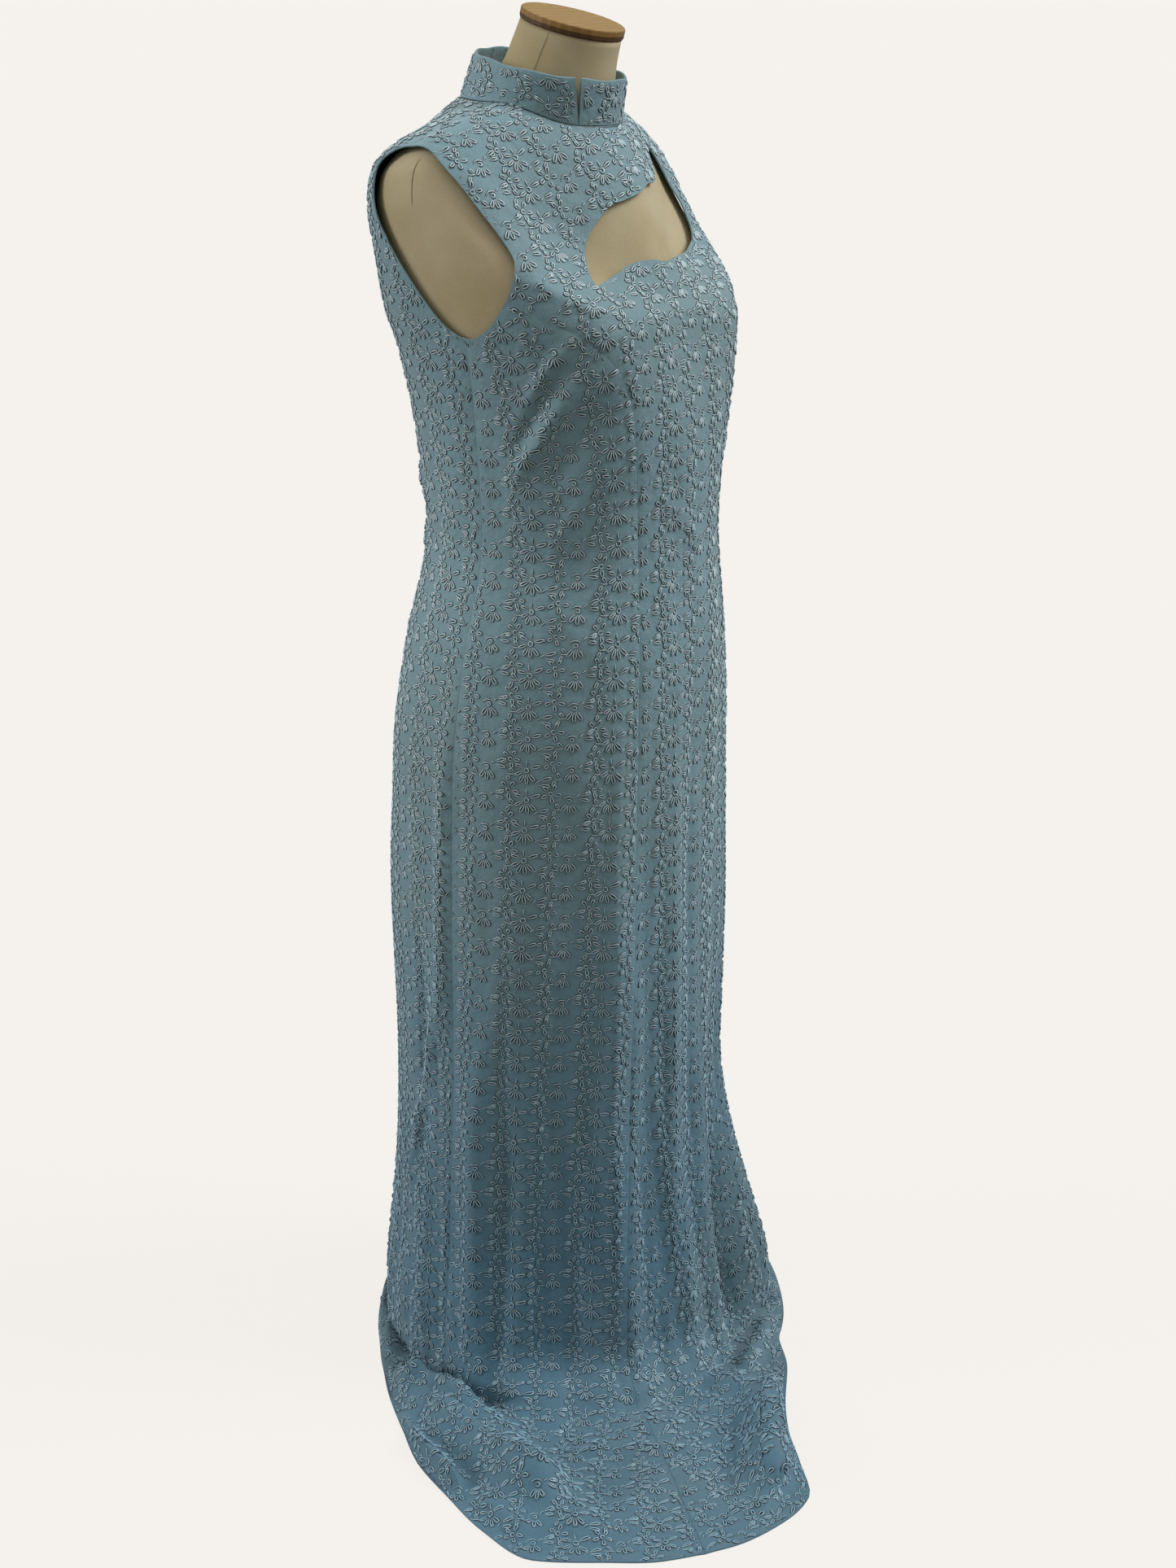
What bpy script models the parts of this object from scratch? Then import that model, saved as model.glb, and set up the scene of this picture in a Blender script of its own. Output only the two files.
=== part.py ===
"""A sleeveless embroidered maxi dress with a stand collar, standing on a limbless dress form.

The dress faces -Y, the wearer's left is +X, and the floor is z = 0. The cloth is one surface,
worked out from rings that run down from the neckline, and each cut piece is a stretch of it
between seam lines, with its own wall. Sizes below are in millimetres, and angles in degrees
round the body from the centre front, positive towards the wearer's left.
"""

import math
from collections import namedtuple

import bmesh
import bpy
import numpy as np
from mathutils import Vector, geometry

MM = 0.001

# Cloth and gaps
WALL = 2.0
COLLAR_WALL = 2.4
SEAM_GAP = 0.5
FLOOR_SEAM_GAP = 1.2
FLOOR_GAP_GROWS = (1150, 1230)
COLLAR_GAP = 0.5

# The rings of the cloth, from the neckline down to the ankle. down is the way along the side,
# the heights are at the front, side and back, and the depths are from the side line.
# form_in and form_drop say how much smaller and lower the dress form is there.
Ring = namedtuple(
    "Ring",
    "down z_front z_side z_back half_width y_side depth_front depth_back"
    " square_front square_back form_in form_drop",
)
RINGS = {
    "neckline": Ring(0, 1161, 1181, 1184, 67, 16, 65, 74, 2.0, 2.0, 5, 0),
    "neck_base": Ring(20, 1146, 1176, 1175, 85, 17, 77, 81, 1.9, 2.0, 5, 2.9),
    "shoulder_in": Ring(65, 1100, 1165, 1152, 119, 22, 111, 92, 1.55, 1.85, 4, 2.8),
    "shoulder_out": Ring(120, 1056, 1149, 1118, 158, 30, 136, 103, 1.45, 1.95, 5, 5),
    "shoulder_tip": Ring(142, 1041, 1136, 1100, 170, 31, 144, 108, 1.55, 2.05, 6, 6),
    "arm_upper": Ring(168, 1029, 1111, 1082, 172, 29, 148, 114, 1.84, 2.1, 6, 3),
    "arm_middle": Ring(212, 1015, 1064, 1054, 167, 21, 148, 118, 2.42, 2.2, 6, 0),
    "underarm": Ring(265, 1002, 1003, 1006, 156, 10, 141, 122, 2.5, 2.35, 6, 0),
    "bust": Ring(290, 985, 985, 985, 152, 6, 139, 120, 2.38, 2.32, 6, 0),
    "underbust": Ring(345, 925, 925, 925, 141, -1, 141, 120, 2.2, 2.2, 11, 0),
    "waist": Ring(455, 815, 815, 815, 133, -9, 133, 119, 2.1, 2.1, 13, 0),
    "high_hip": Ring(560, 710, 710, 710, 154, -5, 140, 136, 2.1, 2.1, 11, 0),
    "hip": Ring(665, 605, 605, 605, 164, -1, 143, 148, 2.1, 2.1, 9, 0),
    "thigh": Ring(800, 470, 470, 470, 165, 0, 144, 154, 2.1, 2.1, 9, 0),
    "knee": Ring(970, 300, 300, 300, 163, 0, 146, 157, 2.0, 2.0, 9, 0),
    "calf": Ring(1120, 150, 150, 150, 164, 0, 155, 164, 2.0, 2.0, 9, 0),
    "ankle": Ring(1205, 65, 65, 65, 170, 0, 166, 170, 2.0, 2.0, 9, 0),
}
SHOULDER_RIDGE = 4
LANDED = 1290
LAND_BEND = 1.6
HEM = 1500

# The bust
BUST_ANGLE = 37
BUST_SPREAD = 19
BUST_DOWN = 292
BUST_LENGTH = 66
BUST_OUT = 11

# The skirt on the floor: where it lands, and how far the hem reaches, at each angle
FloorPlace = namedtuple("FloorPlace", "angle lands reaches")
FLOOR = (
    FloorPlace(-175, 176, 206),
    FloorPlace(-161, 172, 192),
    FloorPlace(-145, 170, 187),
    FloorPlace(-127, 170, 193),
    FloorPlace(-111, 174, 211),
    FloorPlace(-98, 178, 239),
    FloorPlace(-88, 184, 270),
    FloorPlace(-80, 190, 307),
    FloorPlace(-72, 197, 343),
    FloorPlace(-65, 203, 384),
    FloorPlace(-58, 209, 419),
    FloorPlace(-50, 212, 423),
    FloorPlace(-43, 212, 429),
    FloorPlace(-35, 209, 427),
    FloorPlace(-28, 205, 417),
    FloorPlace(-21, 200, 396),
    FloorPlace(-17, 198, 354),
    FloorPlace(-12, 195, 310),
    FloorPlace(-4, 192, 274),
    FloorPlace(7, 186, 248),
    FloorPlace(20, 170, 224),
    FloorPlace(37, 207, 224),
    FloorPlace(55, 188, 231),
    FloorPlace(81, 184, 268),
    FloorPlace(107, 182, 252),
    FloorPlace(131, 180, 266),
    FloorPlace(157, 178, 232),
)

# The upright folds of the skirt: the angle where each starts and where it lands, its half
# width, how far it stands out at the floor, where it starts, and its height on the floor
Fold = namedtuple("Fold", "angle_top angle_low spread out start floor_height")
FOLDS = {
    "right_back_ridge": Fold(-96, -116, 11, 9, 900, 8),
    "right_side_ridge": Fold(-81, -81, 8, 8, 880, 10),
    "right_side_valley": Fold(-59, -57, 15, -8, 420, 0),
    "right_princess_ridge": Fold(-30, -34, 9, 8, 560, 12),
    "front_ridge": Fold(-5, -7, 7, 5, 520, 10),
    "front_edge": Fold(9, 8, 8, 10, 760, 6),
    "front_valley": Fold(20, 21, 9, -26, 800, 0),
    "left_front_flute": Fold(38, 39, 13, 46, 950, 14),
    "left_valley": Fold(63, 63, 13, -12, 800, 0),
    "left_side_ridge": Fold(89, 87, 12, 14, 760, 16),
    "left_back_valley": Fold(113, 111, 12, -9, 820, 0),
    "left_back_ridge": Fold(138, 135, 13, 13, 780, 14),
    "back_valley": Fold(165, 163, 12, -8, 820, 0),
    "back_ridge": Fold(-170, -171, 13, 10, 800, 8),
    "right_back_swell": Fold(-145, -143, 13, 8, 1040, 0),
}

# How the folds flatten out on the floor: their spread there, the power of their fall towards the
# hem, the way over which the cloth rises from where it lands, and where it falls to the hem
FLOOR_FOLD_SPREAD = 0.8
FLOOR_FOLD_FALL = 1.5
FLOOR_RISE = 28
HEM_FALL = (0.8, 0.98)

# The rolls of cloth that lie on the floor: their ends by angle and reach, width and height
Roll = namedtuple("Roll", "angle_from reach_from angle_to reach_to width height")
ROLLS = {
    "right_roll": Roll(-96, 205, -59, 322, 25, 30),
    "right_roll_foot": Roll(-61, 318, -53, 372, 24, 12),
    "front_roll": Roll(-5, 268, -23, 350, 24, 22),
    "left_roll": Roll(65, 214, 100, 222, 20, 15),
    "back_roll": Roll(123, 218, 155, 206, 18, 11),
}

# Seam lines, each by rows of (down, angle), on the wearer's right; the left mirrors them
FRONT_PRINCESS = ((225, -69), (249, -56), (265, -48), (287, -41), (309, -34.5), (345, -30),
                  (455, -28), (690, -27.5), (970, -30), (1205, -34), (1500, -38))
SIDE_SEAM = ((225, -83), (276, -83), (345, -86), (455, -89), (690, -91), (970, -93),
             (1205, -96), (1290, -93), (1500, -85))
BACK_PRINCESS = ((190, -101), (215, -108), (245, -117), (290, -126), (345, -132), (455, -136),
                 (665, -138), (970, -139), (1205, -140), (1500, -140))
SHOULDER_SEAM = ((0, -92), (300, -92))
CENTRE_BACK = ((0, -180), (HEM, -180))

# The levels of the mesh's rows, closer where the cloth bends
LEVELS = (0, 20, 45, 70, 96, 120, 142, 168, 190, 212, 240, 265, 290, 316, 345, 382, 420, 455, 500,
          560, 610, 665, 740, 820, 900, 970, 1045, 1120, 1165, 1205, 1232, 1252, 1267, 1280, 1290,
          1306, 1330, 1362, 1396, 1430, 1464, 1500)

# The armhole on the wearer's right, by points of (angle, down), clockwise from the shoulder tip
ARMHOLE = (
    (-88, 121), (-78.5, 140), (-70, 157), (-63.5, 171), (-60, 187), (-61, 208), (-64, 230),
    (-69, 251), (-75, 268), (-81, 277), (-88, 265), (-94.5, 243), (-100, 219), (-104, 195),
    (-106, 172), (-105, 147), (-98.5, 126),
)

# The cutout on the chest, by points of (angle, down, is it a sharp corner), from its top point
CUTOUT = (
    (60, 50, True), (53, 60, False), (44, 62, False), (30, 56, False), (14, 52, False), (-2, 58, True),
    (-12, 63, False), (-20, 69, False), (-28, 88, False), (-33, 115, False), (-34, 148, False),
    (-33.5, 169, True), (-27, 151, False), (-17, 130, False), (-7, 124, False), (3, 128, True),
    (15, 127, False), (28, 133, False), (39, 144, False), (48, 152, False), (55, 146, False),
    (59, 126, False), (62, 100, False), (63, 74, False),
)

# The stand collar: its upper edge, and its slit
COLLAR_LIFT = 1.9
COLLAR_TOP_Z = 1210.5
COLLAR_TOP_RISE = 13
COLLAR_TOP_HALF_WIDTH = 64
COLLAR_TOP_DEPTH = 64
COLLAR_TOP_Y = 8
COLLAR_ROWS = 5
SLIT_LOW_ANGLE = -28
SLIT_HIGH_ANGLE = -34
SLIT_WIDTH = 2.6

# The dress form: its neck rings, each a level tilted forward by its rise at the back
FORM_END_DOWN = 770
FORM_ROWS = (0, 20, 42, 65, 92, 120, 142, 156, 172, 192, 212, 238, 265, 290, 316, 345, 400,
             455, 507, 560, 612, 665, 770)
NeckRing = namedtuple("NeckRing", "z rise half_width y_side depth")
NECK_RINGS = (
    NeckRing(1241, 12, 43, -13, 43),
    NeckRing(1222, 12, 45, -6, 45),
    NeckRing(1201, 13, 48, 1, 49),
)
FORM_SIDES = 32
CAP_RADIUS = 45.5
CAP_THICKNESS = 9
CAP_EDGE = 1.2
POLE_RADIUS = 14
BASE_RADIUS = 130
BASE_THICKNESS = 12
BASE_EDGE = 2
POLE_EDGE = 0.5
TOUCH_GAP = 0.4
ROUND_SIDES = 32

# Meshing. Flat patterns are measured in millimetres, FLAT_PER_DEGREE to a degree.
ARMHOLE_STEPS = 2
CUTOUT_STEPS = 2
SHORTEST_STEP = 6
ANGLE_STEP = 9
FINE_STEP = 5
FINE_FROM = 1205
FLAT_PER_DEGREE = 2.7
NEAR_EDGE = 9
ROW_END_ROOM = 0.3
ARMHOLE_END_ROOM = 0.2
SMALL_TURN = 0.6
SMALL_DOWN = 1.5
ROUND_ANGLE = 40


def smooth(xs, ys, x):
    """A monotone cubic through the points (xs, ys), read at x and held level past its ends."""
    xs = np.asarray(xs, float)
    ys = np.asarray(ys, float)
    steps = np.diff(xs)
    slopes = np.diff(ys) / steps
    tangents = np.concatenate([slopes[:1], np.zeros(len(xs) - 2), slopes[-1:]])
    for i in range(1, len(xs) - 1):
        before, after = slopes[i - 1], slopes[i]
        if before * after > 0:
            first = 2 * steps[i] + steps[i - 1]
            second = steps[i] + 2 * steps[i - 1]
            tangents[i] = (first + second) / (first / before + second / after)
    x = np.clip(np.asarray(x, float), xs[0], xs[-1])
    i = np.clip(np.searchsorted(xs, x, side="right") - 1, 0, len(xs) - 2)
    h = steps[i]
    t = (x - xs[i]) / h
    rise = (1 + 2 * t) * (1 - t) ** 2 * ys[i] + t * t * (3 - 2 * t) * ys[i + 1]
    return rise + h * (t * (1 - t) ** 2 * tangents[i] - t * t * (1 - t) * tangents[i + 1])


def ramp(x, start, end):
    """0 up to start and 1 from end on, with a soft change between them."""
    t = np.clip((np.asarray(x, float) - start) / (end - start), 0, 1)
    return t * t * (3 - 2 * t)


def bump(x, spread):
    return np.exp(-((x / spread) ** 2))


def turned(angle):
    """An angle brought between -180 and 180."""
    return (np.asarray(angle, float) + 180) % 360 - 180


def column(rows, name):
    return np.array([getattr(row, name) for row in rows], float)


def ring_value(name, down):
    rows = RINGS.values()
    return smooth(column(rows, "down"), column(rows, name), down)


def floor_value(name, angle):
    """A column of FLOOR read at an angle, all the way round."""
    angles = column(FLOOR, "angle")
    values = column(FLOOR, name)
    angles = np.concatenate([angles - 360, angles, angles + 360])
    return smooth(angles, np.tile(values, 3), turned(angle))


def ring_radius(angle, half_width, depth_front, depth_back, square_front, square_back):
    """How far a ring reaches from its side line, at an angle. A higher square is fuller at the corners."""
    across = np.abs(np.sin(np.radians(angle)))
    along = np.cos(np.radians(angle))
    depth = np.where(along > 0, depth_front, depth_back)
    square = np.where(along > 0, square_front, square_back)
    parts = (across / half_width) ** square + (np.abs(along) / depth) ** square
    return parts ** (-1 / square)


def tilted_height(angle, z_front, z_side, z_back):
    across = np.abs(np.sin(np.radians(angle))) ** SHOULDER_RIDGE
    along = np.cos(np.radians(angle))
    return z_side * across + np.where(along > 0, z_front, z_back) * (1 - across)


def from_polar(angle, radius, y_side, z):
    turn = np.radians(angle)
    return np.stack([radius * np.sin(turn), y_side - radius * np.cos(turn), z], axis=-1)


def fold_depth(angle, down):
    """How far the upright folds stand out from the skirt's rings."""
    total = np.zeros_like(angle)
    for fold in FOLDS.values():
        grown = ramp(down, fold.start, LANDED)
        middle = fold.angle_top + (fold.angle_low - fold.angle_top) * grown
        total += fold.out * grown * bump(turned(angle - middle), fold.spread)
    return total


def on_floor(angle, reach):
    turn = math.radians(angle)
    return reach * math.sin(turn), -reach * math.cos(turn)


def floor_height(angle, reach, outward, beyond):
    """How high the cloth lies above its place on the floor.

    outward is 0 where the cloth lands and 1 at the hem, and beyond is the way out from the landing.
    """
    total = np.zeros_like(angle)
    for fold in FOLDS.values():
        spread = fold.spread * FLOOR_FOLD_SPREAD
        flattening = (1 - outward) ** FLOOR_FOLD_FALL
        total += fold.floor_height * bump(turned(angle - fold.angle_low), spread) * flattening
    x = reach * np.sin(np.radians(angle))
    y = -reach * np.cos(np.radians(angle))
    for roll in ROLLS.values():
        start_x, start_y = on_floor(roll.angle_from, roll.reach_from)
        end_x, end_y = on_floor(roll.angle_to, roll.reach_to)
        way_x, way_y = end_x - start_x, end_y - start_y
        along = ((x - start_x) * way_x + (y - start_y) * way_y) / (way_x**2 + way_y**2)
        held = np.clip(along, 0, 1)
        off = np.hypot(x - start_x - held * way_x, y - start_y - held * way_y)
        total += roll.height * bump(off, roll.width)
    return total * ramp(beyond, 0, FLOOR_RISE) * (1 - ramp(outward, *HEM_FALL))


def body_radius(angle, down):
    """How far the rings reach from their side line, with the bust."""
    radius = ring_radius(
        angle,
        ring_value("half_width", down),
        ring_value("depth_front", down),
        ring_value("depth_back", down),
        ring_value("square_front", down),
        ring_value("square_back", down),
    )
    bust = bump(down - BUST_DOWN, BUST_LENGTH)
    for side in (-1, 1):
        radius = radius + BUST_OUT * bust * bump(turned(angle - side * BUST_ANGLE), BUST_SPREAD)
    return radius


def body_height(angle, down):
    return tilted_height(
        angle, ring_value("z_front", down), ring_value("z_side", down), ring_value("z_back", down)
    )


def cloth_rest(angle, down):
    """The cloth's rings with the bust, before the skirt's folds and its end on the floor."""
    return from_polar(
        angle, body_radius(angle, down), ring_value("y_side", down), body_height(angle, down)
    )


def cloth_middle(angle, down):
    """The middle of the cloth's wall."""
    angle = np.asarray(angle, float)
    down = np.asarray(down, float)
    radius = body_radius(angle, down)
    z = body_height(angle, down)
    ankle = RINGS["ankle"]
    landing = np.clip((down - ankle.down) / (LANDED - ankle.down), 0, 1)
    lands = floor_value("lands", angle)
    radius = radius + fold_depth(angle, down)
    radius = radius + (lands - radius) * landing**2
    outward = np.clip((down - LANDED) / (HEM - LANDED), 0, 1)
    beyond = (floor_value("reaches", angle) - lands) * outward
    radius = radius + beyond
    lying = WALL / 2
    falling = lying + (ankle.z_side - lying) * (1 - landing) ** LAND_BEND
    z = np.where(down > ankle.down, falling, z)
    z = z + floor_height(angle, radius, outward, beyond)
    return from_polar(angle, radius, ring_value("y_side", down), z)


def cloth(angle, down, out):
    """The cloth's surface, moved out by a distance square to it, and never below the floor."""
    angle = np.asarray(angle, float)
    down = np.asarray(down, float)
    round_it = cloth_middle(angle + SMALL_TURN, down) - cloth_middle(angle - SMALL_TURN, down)
    lower = cloth_middle(angle, np.minimum(down + SMALL_DOWN, HEM))
    down_it = lower - cloth_middle(angle, np.maximum(down - SMALL_DOWN, 0))
    normal = np.cross(round_it, -down_it)
    normal /= np.linalg.norm(normal, axis=-1, keepdims=True)
    points = cloth_middle(angle, down) + out * normal
    points[..., 2] = np.maximum(points[..., 2], 0)
    return points


def seam_angle(seam, side, down):
    """The angle of a seam: side is 1 on the wearer's right, where it is written, and -1 mirrors it."""
    return side * smooth([row[0] for row in seam], [row[1] for row in seam], down)


def seam_edge(seam, side, down, way):
    """A point of one edge of a seam, half its gap away. way is 1 towards the wearer's left, or -1."""
    angle = float(seam_angle(seam, side, down))
    turn = float(seam_angle(seam, side, down + 1) - seam_angle(seam, side, down - 1)) / 2
    reach = np.linalg.norm(cloth_middle(angle, down)[:2])
    slant = math.hypot(1, math.radians(turn) * reach)
    gap = SEAM_GAP + (FLOOR_SEAM_GAP - SEAM_GAP) * float(ramp(down, *FLOOR_GAP_GROWS))
    return angle + way * math.degrees(slant * gap / 2 / reach), down


def seam_line(seam, side, start, way):
    """The points of one edge of a seam below a start, down to the hem."""
    return [seam_edge(seam, side, down, way) for down in LEVELS if down > start + SHORTEST_STEP]


def curve_through(points, corners, per_span):
    """A closed round curve through points, turning sharply at its corners."""
    count = len(points)
    made = []
    for i in range(count):
        p1 = np.array(points[i], float)
        p2 = np.array(points[(i + 1) % count], float)
        p0 = 2 * p1 - p2 if corners[i] else np.array(points[i - 1], float)
        p3 = 2 * p2 - p1 if corners[(i + 1) % count] else np.array(points[(i + 2) % count], float)
        for step in range(per_span):
            t = step / per_span
            made.append(
                0.5 * (2 * p1 + (p2 - p0) * t + (2 * p0 - 5 * p1 + 4 * p2 - p3) * t * t
                       + (3 * p1 - p0 - 3 * p2 + p3) * t**3)
            )
    return [(float(a), float(d)) for a, d in made]


class Armhole:
    """One armhole's closed line. side is 1 on the wearer's right and -1 on the left."""

    def __init__(self, side):
        self.side = side
        points = [(side * angle, down) for angle, down in ARMHOLE]
        self.line = curve_through(points, [False] * len(points), ARMHOLE_STEPS)

    def meets(self, seam):
        """Where a seam crosses the line, as a place along it. The shoulder seam ends where it first does."""
        found = []
        for i, (a1, d1) in enumerate(self.line):
            a2, d2 = self.line[(i + 1) % len(self.line)]
            off1 = a1 - float(seam_angle(seam, self.side, d1))
            off2 = a2 - float(seam_angle(seam, self.side, d2))
            if off1 * off2 <= 0 and off1 != off2:
                t = off1 / (off1 - off2)
                found.append((d1 + t * (d2 - d1), i + t))
        return min(found)[1] if seam is SHOULDER_SEAM else max(found)[1]

    def edge(self, seam, place, way):
        """The corner of a panel where one edge of a seam comes to the line."""
        i = int(place) % len(self.line)
        start, end = self.line[i][1], self.line[(i + 1) % len(self.line)][1]
        return seam_edge(seam, self.side, start + place % 1 * (end - start), way)

    def stretch(self, first, first_way, second, second_way):
        """The line from one seam on to another, with its ends on the edges of the seams."""
        start, end = self.meets(first), self.meets(second)
        if end < start:
            end += len(self.line)
        inner = [
            self.line[i % len(self.line)]
            for i in range(math.ceil(start + ARMHOLE_END_ROOM), math.floor(end - ARMHOLE_END_ROOM) + 1)
        ]
        return [self.edge(first, start, first_way)] + inner + [self.edge(second, end, second_way)]


def row_line(down, start, end, step):
    """The points of a level line between two angles, without its ends."""
    low = min(start, end) + ROW_END_ROOM * step
    high = max(start, end) - ROW_END_ROOM * step
    angles = [a for a in np.arange(-360, 361, step) if low < a < high]
    if start > end:
        angles.reverse()
    return [(float(a), down) for a in angles]


def cutout_line():
    return curve_through(
        [(angle, down) for angle, down, _ in CUTOUT], [corner for _, _, corner in CUTOUT], CUTOUT_STEPS
    )


def front_centre_outline():
    """Round the front: along the neckline, down the wearer's left, along the hem and up the right."""
    sides = []
    for side in (-1, 1):
        neck = seam_edge(SHOULDER_SEAM, side, 0, side)
        armhole = Armhole(side).stretch(SHOULDER_SEAM, side, FRONT_PRINCESS, side)
        shoulder = shoulder_line(side, armhole[0][1], side)
        seam = seam_line(FRONT_PRINCESS, side, armhole[-1][1], side)
        sides.append([neck] + shoulder + armhole + seam)
    left, right = sides
    neckline = row_line(0, right[0][0], left[0][0], ANGLE_STEP)
    hem = row_line(HEM, left[-1][0], right[-1][0], FINE_STEP)
    return neckline + left + hem + right[::-1]


def shoulder_line(side, end, way):
    """The points of one edge of the shoulder seam, between the neckline and the armhole."""
    downs = [down for down in LEVELS if SHORTEST_STEP < down < end - SHORTEST_STEP]
    return [seam_edge(SHOULDER_SEAM, side, down, way) for down in downs]


def between_seams_outline(side, first, second):
    """A panel that starts at the armhole, between two seams. first comes first along the armhole's line."""
    top = Armhole(side).stretch(first, -side, second, side)
    down_second = seam_line(second, side, top[-1][1], side)
    down_first = seam_line(first, side, top[0][1], -side)
    hem = row_line(HEM, down_second[-1][0], down_first[-1][0], FINE_STEP)
    return top + down_second + hem + down_first[::-1]


def back_outline(side):
    """A back, from the shoulder seam to the centre back, on one side."""
    centre = [seam_edge(CENTRE_BACK, side, down, side) for down in LEVELS]
    neck = seam_edge(SHOULDER_SEAM, side, 0, -side)
    armhole = Armhole(side).stretch(BACK_PRINCESS, -side, SHOULDER_SEAM, -side)
    seam = seam_line(BACK_PRINCESS, side, armhole[0][1], -side)
    outline = [centre[0]] + row_line(0, centre[0][0], neck[0], ANGLE_STEP) + [neck]
    outline += shoulder_line(side, armhole[-1][1], -side)
    outline += armhole[::-1] + seam
    outline += row_line(HEM, seam[-1][0], centre[-1][0], FINE_STEP)
    return outline + centre[:0:-1]


def flat(points):
    return np.array([(angle * FLAT_PER_DEGREE, down) for angle, down in points], float)


def distance_to_lines(points, loops):
    """How near each flat point is to the loops' lines."""
    nearest = np.full(len(points), np.inf)
    for loop in loops:
        for start, end in zip(loop, np.roll(loop, -1, axis=0)):
            way = end - start
            along = np.clip(((points - start) @ way) / max(way @ way, 1e-9), 0, 1)
            nearest = np.minimum(nearest, np.linalg.norm(points - start - along[:, None] * way, axis=1))
    return nearest


def within(points, loop):
    """Which flat points are inside a closed loop."""
    inside = np.zeros(len(points), bool)
    for (x1, y1), (x2, y2) in zip(loop, np.roll(loop, -1, axis=0)):
        crossed = (y1 > points[:, 1]) != (y2 > points[:, 1])
        slope = (x2 - x1) / (y2 - y1) if y1 != y2 else 0
        inside ^= crossed & (points[:, 0] < x1 + (points[:, 1] - y1) * slope)
    return inside


def cut_pattern(outline, holes):
    """A panel's triangles: flat points inside its outline, joined, with the holes left open."""
    loops = [flat(outline)] + [flat(hole) for hole in holes]
    low, high = min(a for a, _ in outline), max(a for a, _ in outline)
    inner = []
    for down in LEVELS[1:-1]:
        step = FINE_STEP if down > FINE_FROM else ANGLE_STEP
        inner += [(a, down) for a in np.arange(-360, 361, step) if low < a < high]
    inner = flat(inner)
    inner = inner[distance_to_lines(inner, loops) > NEAR_EDGE]
    for hole in loops[1:]:
        inner = inner[~within(inner, hole)]
    points, edges = [], []
    for loop in loops:
        start = len(points)
        points += [Vector(p) for p in loop]
        edges += [(start + i, start + (i + 1) % len(loop)) for i in range(len(loop))]
    points += [Vector(p) for p in inner]
    made = geometry.delaunay_2d_cdt(points, edges, [], 2, 1e-6)
    faces = [tuple(face) for face in made[2]]
    middles = np.array([np.mean([made[0][i] for i in face], axis=0) for face in faces])
    for hole in loops[1:]:
        open_there = within(middles, hole)
        faces = [face for face, is_open in zip(faces, open_there) if not is_open]
        middles = middles[~open_there]
    pattern = np.array([(p[0] / FLAT_PER_DEGREE, p[1]) for p in made[0]])
    return pattern, faces


def walled(outer, inner, faces, down):
    """A closed wall between two like sheets of points. Both sides of a seam split their rims alike."""
    count = len(outer)
    used = {}
    for face in faces:
        for a, b in zip(face, face[1:] + face[:1]):
            used[(a, b)] = used.get((a, b), 0) + 1
    sides = [(a, b) for a, b in used if (b, a) not in used]
    all_faces = [tuple(face) for face in faces]
    all_faces += [tuple(i + count for i in reversed(face)) for face in faces]
    for a, b in sides:
        if down[a] < down[b]:
            all_faces += [(b, a, b + count), (a, a + count, b + count)]
        else:
            all_faces += [(b, a, a + count), (b, a + count, b + count)]
    return np.concatenate([outer, inner]), all_faces


def new_object(name, points, faces, material):
    """A solid object from points in millimetres, its faces turned out and its round parts smooth."""
    mesh = bpy.data.meshes.new(name)
    mesh.from_pydata([tuple(p) for p in np.asarray(points) * MM], [], faces)
    shape = bmesh.new()
    shape.from_mesh(mesh)
    loose = [v for v in shape.verts if not v.link_faces]
    bmesh.ops.delete(shape, geom=loose, context="VERTS")
    bmesh.ops.recalc_face_normals(shape, faces=shape.faces)
    shape.to_mesh(mesh)
    shape.free()
    mesh.shade_smooth()
    mesh.set_sharp_from_angle(angle=math.radians(ROUND_ANGLE))
    mesh.materials.append(material)
    made = bpy.data.objects.new(name, mesh)
    bpy.context.scene.collection.objects.link(made)
    return made


def new_material(name, colour, roughness):
    material = bpy.data.materials.new(name)
    material.use_nodes = True
    shader = material.node_tree.nodes["Principled BSDF"]
    shader.inputs["Base Color"].default_value = (*colour, 1)
    shader.inputs["Roughness"].default_value = roughness
    shader.inputs["Metallic"].default_value = 0
    return material


def make_panel(name, outline, holes, material):
    pattern, faces = cut_pattern(outline, holes)
    outer = cloth(pattern[:, 0], pattern[:, 1], WALL / 2)
    inner = cloth(pattern[:, 0], pattern[:, 1], -WALL / 2)
    new_object(name, *walled(outer, inner, faces, pattern[:, 1]), material)


def collar_points(angle, height, out):
    """A point of the stand collar. height is 0 at the neckline and 1 at the top."""
    low = cloth_middle(angle, np.zeros_like(angle))[..., 2] + COLLAR_LIFT
    high = COLLAR_TOP_Z - COLLAR_TOP_RISE * np.cos(np.radians(angle))
    neck = RINGS["neckline"]
    half_width = neck.half_width + (COLLAR_TOP_HALF_WIDTH - neck.half_width) * height
    front = neck.depth_front + (COLLAR_TOP_DEPTH - neck.depth_front) * height
    back = neck.depth_back + (COLLAR_TOP_DEPTH - neck.depth_back) * height
    y_side = neck.y_side + (COLLAR_TOP_Y - neck.y_side) * height
    radius = ring_radius(angle, half_width, front, back, 2, 2) + out
    return from_polar(angle, radius, y_side, low + (high - low) * height)


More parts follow.
